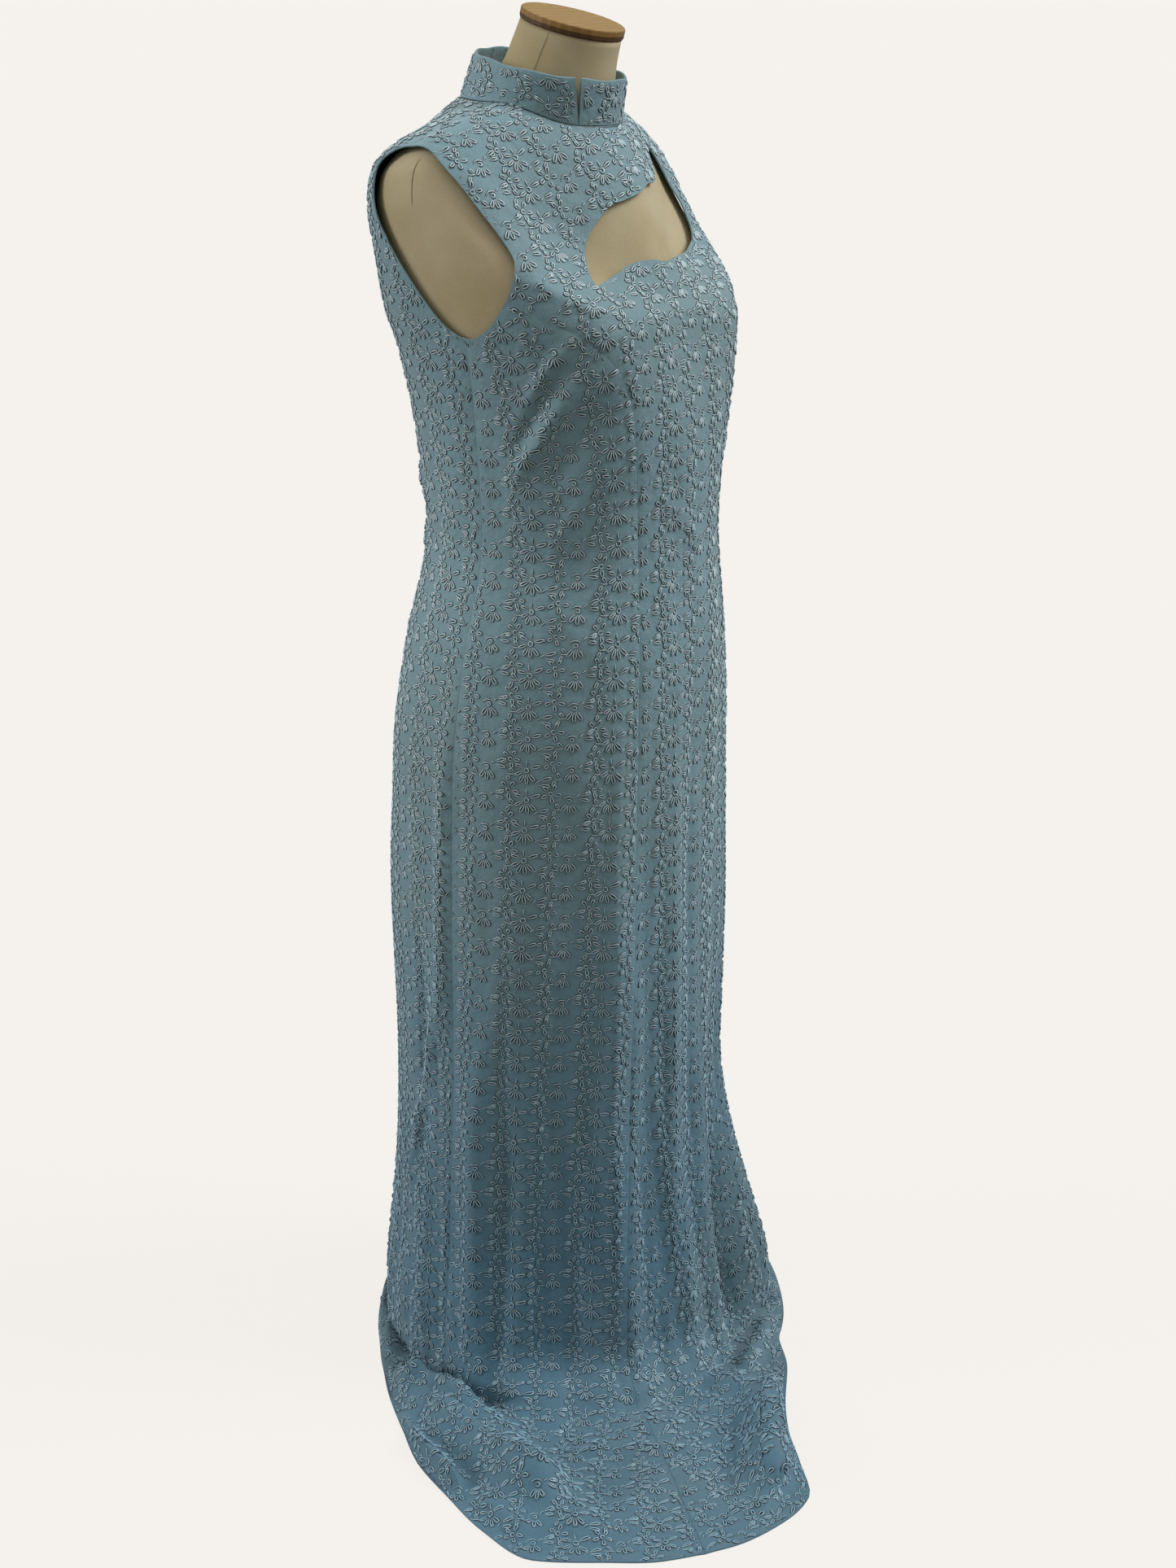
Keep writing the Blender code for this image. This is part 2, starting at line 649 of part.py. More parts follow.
def make_collar(name, side, material):
    """One half of the stand collar, from the slit round to the centre back."""
    turn = math.degrees(1 / COLLAR_TOP_HALF_WIDTH)
    back = -side * (180 - COLLAR_GAP / 2 * turn)
    width = round((180 + side * SLIT_LOW_ANGLE) / ANGLE_STEP)
    heights = np.repeat(np.linspace(0, 1, COLLAR_ROWS), width)
    slit = SLIT_LOW_ANGLE + (SLIT_HIGH_ANGLE - SLIT_LOW_ANGLE) * heights
    start = slit - side * SLIT_WIDTH / 2 * turn
    angles = start + (back - start) * np.tile(np.linspace(0, 1, width), COLLAR_ROWS)
    faces = [
        (r * width + c, r * width + c + 1, (r + 1) * width + c + 1, (r + 1) * width + c)
        for r in range(COLLAR_ROWS - 1)
        for c in range(width - 1)
    ]
    outer = collar_points(angles, heights, COLLAR_WALL / 2)
    inner = collar_points(angles, heights, -COLLAR_WALL / 2)
    new_object(name, *walled(outer, inner, faces, -heights), material)


def form_ring(down, angles):
    """One ring of the dress form: the cloth's ring, smaller and lower by the ease."""
    downs = np.full_like(angles, down)
    plain = cloth_rest(angles, downs)
    centre = np.array([0, float(ring_value("y_side", down)), 0])
    flat_way = (plain - centre) * (1, 1, 0)
    reach = np.linalg.norm(flat_way, axis=1, keepdims=True)
    points = plain - flat_way / reach * ring_value("form_in", down)
    points[:, 2] -= ring_value("form_drop", down)
    return points


def make_form(material):
    angles = np.arange(FORM_SIDES) * 360 / FORM_SIDES
    rings = []
    for ring in NECK_RINGS:
        radius = ring_radius(angles, ring.half_width, ring.depth, ring.depth, 2, 2)
        height = ring.z - ring.rise * np.cos(np.radians(angles))
        rings.append(from_polar(angles, radius, ring.y_side, height))
    rings += [form_ring(down, angles) for down in FORM_ROWS]
    faces = [
        (r * FORM_SIDES + c, r * FORM_SIDES + (c + 1) % FORM_SIDES,
         (r + 1) * FORM_SIDES + (c + 1) % FORM_SIDES, (r + 1) * FORM_SIDES + c)
        for r in range(len(rings) - 1)
        for c in range(FORM_SIDES)
    ]
    last = (len(rings) - 1) * FORM_SIDES
    faces.append(tuple(range(FORM_SIDES)))
    faces.append(tuple(last + c for c in reversed(range(FORM_SIDES))))
    new_object("form_torso", np.concatenate(rings), faces, material)


def make_disc(name, radius, thickness, edge, material):
    """A flat round piece on the origin, its rims rounded off."""
    bpy.ops.mesh.primitive_cylinder_add(
        vertices=ROUND_SIDES, radius=radius * MM, depth=thickness * MM, location=(0, 0, 0)
    )
    made = bpy.context.object
    made.name = name
    made.data.name = name
    rounding = made.modifiers.new("rim", "BEVEL")
    rounding.width = edge * MM
    rounding.segments = 2
    rounding.limit_method = "ANGLE"
    made.data.shade_smooth()
    made.data.set_sharp_from_angle(angle=math.radians(ROUND_ANGLE))
    made.data.materials.append(material)
    return made


def clear_scene():
    for old in list(bpy.data.objects):
        bpy.data.objects.remove(old, do_unlink=True)


def main():
    clear_scene()
    blue = new_material("sky_blue_cloth", (0.20, 0.36, 0.42), 0.72)
    canvas = new_material("beige_canvas", (0.52, 0.43, 0.30), 0.85)
    wood = new_material("brown_wood", (0.36, 0.19, 0.08), 0.5)
    metal = new_material("black_metal", (0.05, 0.05, 0.05), 0.5)

    make_panel("front_centre", front_centre_outline(), [cutout_line()], blue)
    for side, word in ((1, "right"), (-1, "left")):
        make_panel(f"front_side_{word}", between_seams_outline(side, FRONT_PRINCESS, SIDE_SEAM), [], blue)
        make_panel(f"back_side_{word}", between_seams_outline(side, SIDE_SEAM, BACK_PRINCESS), [], blue)
        make_panel(f"back_{word}", back_outline(side), [], blue)
        make_collar(f"collar_{word}", side, blue)

    make_form(canvas)
    neck = NECK_RINGS[0]
    tilt = math.atan(neck.rise / neck.depth)
    cap = make_disc("neck_cap", CAP_RADIUS, CAP_THICKNESS, CAP_EDGE, wood)
    cap.rotation_euler = (tilt, 0, 0)
    lift = TOUCH_GAP + CAP_THICKNESS / 2
    cap_y = neck.y_side - lift * math.sin(tilt)
    cap_z = neck.z + lift * math.cos(tilt)
    cap.location = (0, cap_y * MM, cap_z * MM)

    base = make_disc("stand_base", BASE_RADIUS, BASE_THICKNESS, BASE_EDGE, metal)
    base.location = (0, 0, BASE_THICKNESS / 2 * MM)
    form_end = float(ring_value("z_side", FORM_END_DOWN) - ring_value("form_drop", FORM_END_DOWN))
    pole_low = BASE_THICKNESS + TOUCH_GAP
    pole_high = form_end - TOUCH_GAP
    pole = make_disc("stand_pole", POLE_RADIUS, pole_high - pole_low, POLE_EDGE, metal)
    pole.location = (0, 0, (pole_low + pole_high) / 2 * MM)
    bpy.context.view_layer.update()


main()
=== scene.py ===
"""The visual model of a sleeveless corded maxi dress with a stand collar, on its limbless dress form.

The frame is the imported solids': the dress faces -Y, the wearer's left is +X, and the floor is z = 0.
The cloth is the same surface as the solids', worked out from rings that run down from the neckline,
with creases, seams and puckers added, and each cut piece is a thin shell of its own. Every piece is
then laid flat, so that its cord embroidery runs along the cloth's grain. Sizes are in millimetres,
and angles in degrees round the body from the centre front, positive towards the wearer's left.
"""

import math
from collections import namedtuple

import bpy
import numpy as np
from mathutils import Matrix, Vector, geometry
from mathutils.bvhtree import BVHTree
from mathutils.kdtree import KDTree

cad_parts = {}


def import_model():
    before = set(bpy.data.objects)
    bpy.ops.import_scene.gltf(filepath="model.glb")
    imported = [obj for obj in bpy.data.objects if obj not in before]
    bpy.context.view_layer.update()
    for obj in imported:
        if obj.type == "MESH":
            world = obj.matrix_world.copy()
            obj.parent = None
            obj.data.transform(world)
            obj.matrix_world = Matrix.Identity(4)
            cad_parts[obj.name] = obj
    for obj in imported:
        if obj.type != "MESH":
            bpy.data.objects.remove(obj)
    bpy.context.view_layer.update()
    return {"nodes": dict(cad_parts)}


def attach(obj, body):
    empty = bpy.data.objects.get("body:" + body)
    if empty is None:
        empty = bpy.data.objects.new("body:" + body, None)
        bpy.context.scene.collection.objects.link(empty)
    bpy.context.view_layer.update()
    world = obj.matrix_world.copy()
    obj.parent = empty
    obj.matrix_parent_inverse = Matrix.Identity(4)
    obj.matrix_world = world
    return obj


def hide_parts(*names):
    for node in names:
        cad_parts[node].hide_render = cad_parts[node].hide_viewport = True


MM = 0.001

# Cloth and gaps
WALL = 2.0
SEAM_GAP = 0.35
COLLAR_GAP = 0.5

# The rings of the cloth, from the neckline down to the ankle. down is the way along the side,
# the heights are at the front, side and back, and the depths are from the side line.
# form_in and form_drop say how much smaller and lower the dress form is there.
Ring = namedtuple(
    "Ring",
    "down z_front z_side z_back half_width y_side depth_front depth_back"
    " square_front square_back form_in form_drop",
)
RINGS = {
    "neckline": Ring(0, 1161, 1181, 1184, 67, 16, 65, 74, 2.0, 2.0, 5, 0),
    "neck_base": Ring(20, 1146, 1176, 1175, 85, 17, 77, 81, 1.9, 2.0, 5, 2.9),
    "shoulder_in": Ring(65, 1100, 1165, 1152, 119, 22, 111, 92, 1.55, 1.85, 4, 2.8),
    "shoulder_out": Ring(120, 1056, 1149, 1118, 158, 30, 136, 103, 1.45, 1.95, 5, 5),
    "shoulder_tip": Ring(142, 1041, 1136, 1100, 170, 31, 144, 108, 1.55, 2.05, 6, 6),
    "arm_upper": Ring(168, 1029, 1111, 1082, 172, 29, 148, 114, 1.84, 2.1, 6, 3),
    "arm_middle": Ring(212, 1015, 1064, 1054, 167, 21, 148, 118, 2.42, 2.2, 6, 0),
    "underarm": Ring(265, 1002, 1003, 1006, 156, 10, 141, 122, 2.5, 2.35, 6, 0),
    "bust": Ring(290, 985, 985, 985, 152, 6, 139, 120, 2.38, 2.32, 6, 0),
    "underbust": Ring(345, 925, 925, 925, 141, -1, 141, 120, 2.2, 2.2, 11, 0),
    "waist": Ring(455, 815, 815, 815, 133, -9, 133, 119, 2.1, 2.1, 13, 0),
    "high_hip": Ring(560, 710, 710, 710, 154, -5, 140, 136, 2.1, 2.1, 11, 0),
    "hip": Ring(665, 605, 605, 605, 164, -1, 143, 148, 2.1, 2.1, 9, 0),
    "thigh": Ring(800, 470, 470, 470, 165, 0, 144, 154, 2.1, 2.1, 9, 0),
    "knee": Ring(970, 300, 300, 300, 163, 0, 146, 157, 2.0, 2.0, 9, 0),
    "calf": Ring(1120, 150, 150, 150, 164, 0, 155, 164, 2.0, 2.0, 9, 0),
    "ankle": Ring(1205, 65, 65, 65, 170, 0, 166, 170, 2.0, 2.0, 9, 0),
}

# The square of a plain oval, how closely the shoulders' height keeps to their ridge, the way down to
# where the skirt lands on the floor, how it bends there, and the way down to the hem
OVAL = 2
SHOULDER_RIDGE = 4
LANDED = 1290
LAND_BEND = 1.6
HEM = 1500

# The bust
BUST_ANGLE = 37
BUST_SPREAD = 19
BUST_DOWN = 292
BUST_LENGTH = 66
BUST_OUT = 11

# The skirt on the floor: where it lands, and how far the hem reaches, at each angle
FloorPlace = namedtuple("FloorPlace", "angle lands reaches")
FLOOR = (
    FloorPlace(-175, 176, 206),
    FloorPlace(-161, 172, 192),
    FloorPlace(-145, 170, 187),
    FloorPlace(-127, 170, 193),
    FloorPlace(-111, 174, 211),
    FloorPlace(-98, 178, 239),
    FloorPlace(-88, 184, 270),
    FloorPlace(-80, 190, 307),
    FloorPlace(-72, 197, 343),
    FloorPlace(-65, 203, 384),
    FloorPlace(-58, 209, 419),
    FloorPlace(-50, 212, 423),
    FloorPlace(-43, 212, 429),
    FloorPlace(-35, 209, 427),
    FloorPlace(-28, 205, 417),
    FloorPlace(-21, 200, 396),
    FloorPlace(-17, 198, 354),
    FloorPlace(-12, 195, 310),
    FloorPlace(-4, 192, 274),
    FloorPlace(7, 186, 248),
    FloorPlace(20, 170, 224),
    FloorPlace(37, 207, 224),
    FloorPlace(55, 188, 231),
    FloorPlace(81, 184, 268),
    FloorPlace(107, 182, 252),
    FloorPlace(131, 180, 266),
    FloorPlace(157, 178, 232),
)

# The upright folds of the skirt: the angle where each starts and where it lands, its half
# width, how far it stands out at the floor, where it starts, and its height on the floor
Fold = namedtuple("Fold", "angle_top angle_low spread out start floor_height")
FOLDS = {
    "right_back_ridge": Fold(-96, -116, 11, 9, 900, 8),
    "right_side_ridge": Fold(-81, -81, 8, 8, 880, 10),
    "right_side_valley": Fold(-59, -57, 15, -8, 420, 0),
    "right_princess_ridge": Fold(-30, -34, 9, 8, 560, 12),
    "front_ridge": Fold(-5, -7, 7, 5, 520, 10),
    "front_edge": Fold(9, 8, 8, 10, 760, 6),
    "front_valley": Fold(20, 21, 9, -26, 800, 0),
    "left_front_flute": Fold(38, 39, 13, 46, 950, 14),
    "left_valley": Fold(63, 63, 13, -12, 800, 0),
    "left_side_ridge": Fold(89, 87, 12, 14, 760, 16),
    "left_back_valley": Fold(113, 111, 12, -9, 820, 0),
    "left_back_ridge": Fold(138, 135, 13, 13, 780, 14),
    "back_valley": Fold(165, 163, 12, -8, 820, 0),
    "back_ridge": Fold(-170, -171, 13, 10, 800, 8),
    "right_back_swell": Fold(-145, -143, 13, 8, 1040, 0),
}

# How the folds flatten out on the floor: their spread there, the power of their fall towards the
# hem, the way over which the cloth rises from where it lands, and where it falls to the hem
FLOOR_FOLD_SPREAD = 0.8
FLOOR_FOLD_FALL = 1.5
FLOOR_RISE = 28
HEM_FALL = (0.8, 0.98)

# The rolls of cloth that lie on the floor: their ends by angle and reach, width and height
Roll = namedtuple("Roll", "angle_from reach_from angle_to reach_to width height")
ROLLS = {
    "right_roll": Roll(-96, 205, -59, 322, 25, 30),
    "right_roll_foot": Roll(-61, 318, -53, 372, 24, 12),
    "front_roll": Roll(-5, 268, -23, 350, 24, 22),
    "left_roll": Roll(65, 214, 100, 222, 20, 15),
    "back_roll": Roll(123, 218, 155, 206, 18, 11),
}

# Seam lines, each by rows of (down, angle), on the wearer's right; the left mirrors them
FRONT_PRINCESS = ((225, -69), (249, -56), (265, -48), (287, -41), (309, -34.5), (345, -30),
                  (455, -28), (690, -27.5), (970, -30), (1205, -34), (1500, -38))
SIDE_SEAM = ((225, -83), (276, -83), (345, -86), (455, -89), (690, -91), (970, -93),
             (1205, -96), (1290, -93), (1500, -85))
BACK_PRINCESS = ((190, -101), (215, -108), (245, -117), (290, -126), (345, -132), (455, -136),
                 (665, -138), (970, -139), (1205, -140), (1500, -140))
SHOULDER_SEAM = ((0, -92), (300, -92))
CENTRE_BACK = ((0, -180), (HEM, -180))

# The armhole on the wearer's right, by points of (angle, down), clockwise from the shoulder tip
ARMHOLE = (
    (-88, 121), (-78.5, 140), (-70, 157), (-63.5, 171), (-60, 187), (-61, 208), (-64, 230),
    (-69, 251), (-75, 268), (-81, 277), (-88, 265), (-94.5, 243), (-100, 219), (-104, 195),
    (-106, 172), (-105, 147), (-98.5, 126),
)

# The cutout on the chest, by points of (angle, down, is it a sharp corner), from its top point
CUTOUT = (
    (60, 50, True), (53, 60, False), (44, 62, False), (30, 56, False), (14, 52, False), (-2, 58, True),
    (-12, 63, False), (-20, 69, False), (-28, 88, False), (-33, 115, False), (-34, 148, False),
    (-33.5, 169, True), (-27, 151, False), (-17, 130, False), (-7, 124, False), (3, 128, True),
    (15, 127, False), (28, 133, False), (39, 144, False), (48, 152, False), (55, 146, False),
    (59, 126, False), (62, 100, False), (63, 74, False),
)

# The stand collar: its upper edge, and its slit
COLLAR_LIFT = 1.0
COLLAR_TOP_Z = 1210.5
COLLAR_TOP_RISE = 13
COLLAR_TOP_HALF_WIDTH = 64
COLLAR_TOP_DEPTH = 64
COLLAR_TOP_Y = 8
COLLAR_ROWS = 8
SLIT_LOW_ANGLE = -28
SLIT_HIGH_ANGLE = -34
SLIT_WIDTH = 4.2

# The dress form: the rows of the cloth's rings that it follows, and the rings of its neck above them,
# each a level that is tilted forward by its rise. It is meshed FORM_FINER times as finely as its rows.
FORM_ROWS = (0, 20, 42, 65, 92, 120, 142, 156, 172, 192, 212, 238, 265, 290, 316, 345, 400,
             455, 507, 560, 612, 665, 770)
NeckRing = namedtuple("NeckRing", "z rise half_width y_side depth")
NECK_RINGS = (
    NeckRing(1241, 12, 43, -13, 43),
    NeckRing(1222, 12, 45, -6, 45),
    NeckRing(1201, 13, 48, 1, 49),
)
FORM_SIDES = 96
FORM_FINER = 4

# Added to the solids' form of the cloth: its drag lines, by their ends, width and height
Crease = namedtuple("Crease", "angle_from down_from angle_to down_to width out")
CREASES = (
    Crease(-43, 296, -77, 408, 6, 5.6),
    Crease(-52, 300, -74, 376, 5, -3.4),
    Crease(-46, 270, -69, 344, 5, 4.2),
    Crease(-36, 312, -62, 408, 9, -4.2),
    Crease(-30, 340, -66, 474, 8, 2.4),
    Crease(-26, 372, -64, 520, 13, -2.6),
    Crease(-36, 560, -76, 470, 12, 1.8),
    Crease(-24, 400, 8, 470, 10, 1.6),
    Crease(44, 296, 75, 402, 6, 4.8),
    Crease(50, 304, 73, 374, 5, -3.0),
    Crease(36, 316, 62, 412, 9, -3.4),
    Crease(30, 352, 64, 470, 9, 2.0),
    Crease(-150, 380, -112, 452, 7, 2.8),
    Crease(148, 372, 110, 446, 7, 3.0),
    Crease(-160, 430, -118, 492, 8, 2.4),
    Crease(162, 424, 116, 486, 8, 2.2),
    Crease(-172, 470, -138, 540, 10, -2.0),
    Crease(174, 462, 140, 530, 10, -1.8),
    Crease(-60, 196, -30, 232, 8, 1.6),
    Crease(60, 200, 32, 240, 8, 1.4),
    Crease(-35, 520, -38, 1250, 8, 4.0),
    Crease(-23, 560, -25, 1220, 10, -3.4),
    Crease(-10, 540, -12, 1240, 8, 3.8),
    Crease(0, 540, -1, 1220, 9, -4.0),
    Crease(-92, 560, -98, 960, 7, 4.6),
    Crease(-95, 840, -121, 1150, 7, 6.0),
    Crease(-106, 740, -108, 1080, 9, -4.4),
    Crease(-82, 840, -87, 1270, 8, 4.2),
    Crease(-73, 800, -74, 1250, 9, -3.2),
    Crease(-54, 560, -55, 1260, 24, -3.6),
    Crease(36, 620, 33, 1120, 9, 2.6),
    Crease(72, 600, 76, 1180, 9, -3.0),
    Crease(98, 620, 108, 1160, 8, 3.4),
    Crease(141, 640, 132, 1180, 8, 3.2),
    Crease(160, 640, 163, 1180, 11, -3.0),
    Crease(-166, 620, -170, 1180, 8, 3.0),
    Crease(-139, 660, -144, 1180, 10, -2.8),
)
CREASE_FADE = 0.35

# Soft upright folds of the skirt beside the solids' own
SOFT_FOLDS = {
    "right_back_valley": Fold(-99, -98, 5, -4, 820, 0),
    "right_side_ridge": Fold(-67, -68, 4, 4, 860, 0),
    "right_side_valley": Fold(-74, -76, 4, -4, 860, 0),
    "right_front_valley": Fold(-50, -51, 6, -3, 900, 0),
    "right_front_rise": Fold(-42, -42, 4, 3, 960, 0),
    "front_right_valley": Fold(-21, -24, 5, -4, 760, 0),
    "front_left_valley": Fold(0, 0, 5, -5, 860, 0),
    "left_front_ridge": Fold(50, 52, 5, 4, 860, 0),
    "left_side_valley": Fold(76, 75, 5, -5, 840, 0),
    "left_side_ridge": Fold(100, 99, 5, 5, 880, 0),
    "left_back_ridge": Fold(124, 122, 5, 4, 940, 0),
    "left_back_valley": Fold(150, 149, 5, -5, 880, 0),
    "back_ridge": Fold(176, 178, 6, 4, 840, 0),
    "back_right_valley": Fold(-156, -157, 5, -5, 880, 0),
    "back_right_ridge": Fold(-128, -130, 5, 4, 940, 0),
}

# Finer hanging folds: how many go round, how they wander down the skirt, and how deep they are. They
# grow down the skirt, and have places round it where they are least.
Drape = namedtuple("Drape", "around wander length phase out")
DRAPES = (
    Drape(29, 1.5, 460, 0.7, 0.9),
    Drape(47, 1.9, 330, 2.3, 0.6),
    Drape(73, 1.6, 210, 4.1, 0.35),
)
DRAPES_START, DRAPES_FULL = 420, 1200
DRAPES_LEAST = 0.35
DRAPES_CHANGES = 3

# Ridges and troughs of the lying cloth beside the solids' own, by the angle and reach of their ends,
# and the shares of the way out over which they start and end
Lying = namedtuple("Lying", "angle_from reach_from angle_to reach_to width out")
LYING = (
    Lying(-97, 212, -76, 228, 10, 6),
    Lying(-52, 262, -30, 250, 10, 3),
    Lying(-93, 216, -68, 262, 13, -12),
    Lying(-91, 266, -72, 328, 9, 20),
    Lying(-65, 352, -60, 380, 12, 8),
    Lying(-11, 278, -23, 362, 9, 7),
    Lying(-23, 362, -28, 396, 8, 6),
    Lying(-19, 270, -33, 380, 10, -6),
    Lying(-48, 262, -30, 300, 9, 4),
    Lying(-40, 320, -50, 392, 12, 3),
    Lying(2, 214, 24, 208, 9, 5),
    Lying(58, 208, 92, 216, 10, 7),
    Lying(66, 240, 96, 246, 9, -5),
    Lying(112, 206, 148, 204, 10, 7),
    Lying(164, 198, 196, 196, 9, 6),
    Lying(-152, 190, -118, 192, 9, 5),
)
LYING_START = (0.02, 0.14)
LYING_END = (0.86, 0.99)

# Single swellings: the skirt's belly above where it lands at the front, and the back edge of the
# armhole on the wearer's right, which stands off the form
Swell = namedtuple("Swell", "angle down spread length out")
BELLY = Swell(-50, 1266, 52, 30, 12)
ARMHOLE_EDGE = Swell(-106, 186, 9, 46, 2)

# Unevenness all over the skirt: waves round the body and down it
Wave = namedtuple("Wave", "around length phase out")
WAVES = (
    Wave(7, 610, 0.4, 0.8),
    Wave(11, 430, 1.9, 0.6),
    Wave(16, 270, 3.1, 0.5),
    Wave(23, 190, 4.4, 0.35),
    Wave(31, 120, 0.9, 0.25),
)
WAVES_START, WAVES_FULL = 60, 420

# Seams as they draw the cloth in: on which sides, from where to where, and how their puckers start
SeamLine = namedtuple("SeamLine", "seam sides start end phase")
SEAMS = {
    "front_princess": SeamLine(FRONT_PRINCESS, (1, -1), 236, HEM, 14),
    "side": SeamLine(SIDE_SEAM, (1, -1), 275, HEM, 4),
    "back_princess": SeamLine(BACK_PRINCESS, (1, -1), 197, HEM, 13),
    "centre_back": SeamLine(CENTRE_BACK, (1,), 0, HEM, 11),
    "shoulder": SeamLine(SHOULDER_SEAM, (1, -1), 0, 121, 8),
}
SEAM_FADE = 6
SEAM_DIP = 0.7
SEAM_WIDTH = 2.0
PUCKER_LENGTH = 15
PUCKER_WANDER = 1.6
PUCKER_DRIFT = 3.7
PUCKER_OUT = 0.3
PUCKER_WIDTH = 9

# How the details end on the floor and at the hem
LYING_FADE = 60
LYING_SHARE = 0.25
HEM_FADE = 12
FLOOR_CLEAR = 0.2
LOWEST = 0.6

# The shells: how far their two sides stand from the middle, how far their rims are rounded, and
# from how many degrees on an edge is sharp
OUTER = 0.9
INNER = -0.4
RIM_ROUND = 0.15
SHARP_FROM = 40

# Meshing of the panels. Patterns are in millimetres, with FLAT_PER_DEGREE of them to a degree. The
# coarse levels and steps are for the panels as they are laid flat. INSIDE_WITH_HOLES is the kind of
# joining that keeps the triangles inside a closed line, and the last two are as good as no length.
LEVEL_STEP = 6
COARSE_LEVEL_STEP = 18
LEVELS = tuple(range(0, HEM + 1, LEVEL_STEP))
COARSE_LEVELS = tuple(range(0, HEM + 1, COARSE_LEVEL_STEP))
COARSER = 2.4
ARMHOLE_STEPS = 5
CUTOUT_STEPS = 5
SHORTEST_STEP = 3
ANGLE_STEP = 2
FINE_STEP = 1
FINE_FROM = 1205
FLAT_PER_DEGREE = 2.7
NEAR_EDGE = 3
LINE_STEP = 0.8
ROW_END_ROOM = 0.3
ARMHOLE_END_ROOM = 0.2
SMALL_TURN = 0.25
SMALL_DOWN = 0.8
INSIDE_WITH_HOLES = 2
JOIN_ROOM = 1e-6
SHORTEST_WAY = 1e-9

# The grain of each panel: its angles at two levels, on the wearer's right
GRAIN_DOWNS = (400, 1000)
GRAINS = {"front_centre": (0, 0), "front_side": (-55, -57), "back_side": (-108, -112), "back": (-158, -158)}

# The wearer's two sides, by the sign that mirrors what is written for the right
SIDES = {1: "right", -1: "left"}

# Raised cords: their size, how they taper to their ends, the shortest run of points, the room that
# they leave at a panel's edge, and the shares of their relief over which the painted shade on their foot ends
CordSize = namedtuple("CordSize", "width height base")
CORD_SIZE = CordSize(2.6, 1.4, 0.8)
CORD_END = 0.1
CORD_TAPER = 1.5
SHORTEST_CORD = 3
CORD_MARGIN = 0.7
CORD_SHADE_EDGES = (0.57, 0.74)

# The runs of cord in the embroidery's motifs, by their places right and down from a motif's middle.
# Ways and starts are degrees from the right, turning down, and a bend is how far a stem turns.
Coil = namedtuple("Coil", "right down radius turns start")
Fan = namedtuple("Fan", "right down reach ways length width")
Petal = namedtuple("Petal", "right down way length width")
Stem = namedtuple("Stem", "right down way length bend")
COIL_STEPS = 8
COIL_CLOSE = 0.45
PETAL_STEPS = 7
PETAL_FOOT = 0.5
STEM_STEPS = 4
LILY = (
    Coil(0, 0, 2.7, 1.1, 200),
    Fan(0, 0.5, 3.0, (46, 82, 116), 9, 3.3),
    Petal(-2.5, 1, 152, 8.5, 3.0),
    Petal(2.6, -2.2, -20, 10, 3.2),
    Petal(-2.6, -2.4, 198, 8, 3.0),
    Stem(0.5, -3.0, -108, 7, 30),
)
ROSETTE = (
    Coil(0, 0, 2.3, 1.0, 30),
    Fan(0, 0, 3.0, (10, 82, 154, 226, 298), 5.6, 3.3),
)
BELL = (
    Coil(0, 0, 2.2, 1.0, 190),
    Stem(-6.5, 0.5, -62, 14, 104),
    Fan(0, 0.5, 2.8, (54, 90, 126), 8, 3.4),
)
DOUBLE_LEAF = (
    Petal(0, 0, -16, 9.5, 3.2),
    Petal(0, 3.4, 10, 8.5, 3.0),
    Stem(0, 0, 160, 6, -30),
)
TWIG = (
    Stem(0, 0, 172, 10, 28),
    Petal(-3, -0.6, -126, 6, 2.8),
    Petal(-6.4, 1, 120, 6, 2.8),
)

# The embroidery's repeat, right and down, where each motif sits on it, how far a motif may turn,
# grow and shift, and how far it reaches
REPEAT = np.array([75.0, 28.0])
Motif = namedtuple("Motif", "rows right down")
MOTIFS = (
    Motif(LILY, 0, 0),
    Motif(DOUBLE_LEAF, 12, 9),
    Motif(ROSETTE, 22, -7),
    Motif(TWIG, 33, 8),
    Motif(BELL, 39, 0),
    Motif(DOUBLE_LEAF, 48, -6),
    Motif(ROSETTE, 60, -10),
    Motif(TWIG, 67, 4),
)
MOTIF_TURN = 7
MOTIF_GROWTH = 0.08
MOTIF_SHIFT = 0.7
MOTIF_REACH = 14

# The collar's shell: half its thickness, its height, its meshing, how its top waves and ripples, and
# how it flares beside the slit
COLLAR_HALF = 1.5
COLLAR_HEIGHT = 36
COLLAR_TOP_STEPS = 7
COLLAR_STEP = 2.5
COLLAR_WAVE = 1.0
COLLAR_WAVES = 5
COLLAR_WAVE_PHASE = 0.7
COLLAR_RIPPLE = 0.6
COLLAR_RIPPLES = 9
COLLAR_FLARE = 2.4
COLLAR_FLARE_SPREAD = 11

# The seam at the collar's foot, a dark strip in the cords' painted shade
NECKLINE_STEPS = 80
NECKLINE_DOWN = 1.6
NECKLINE_SIZE = CordSize(1.8, 0.2, 0.85)

# The form's seams that show on each side, by its fine rows and the angles at their ends: a raised one
# down the neck, and a sunk one behind the arm plate, drawn as a thin strip of painted shade
FormSeam = namedtuple("FormSeam", "row_from row_to angle_from angle_to size")
FORM_SEAMS = {
    "neck": FormSeam(0, 12, 80, 87, CordSize(2.4, 1.0, 0.0)),
    "arm": FormSeam(33, 45, 89, 91, CordSize(0.9, 0.15, 0.05)),
}
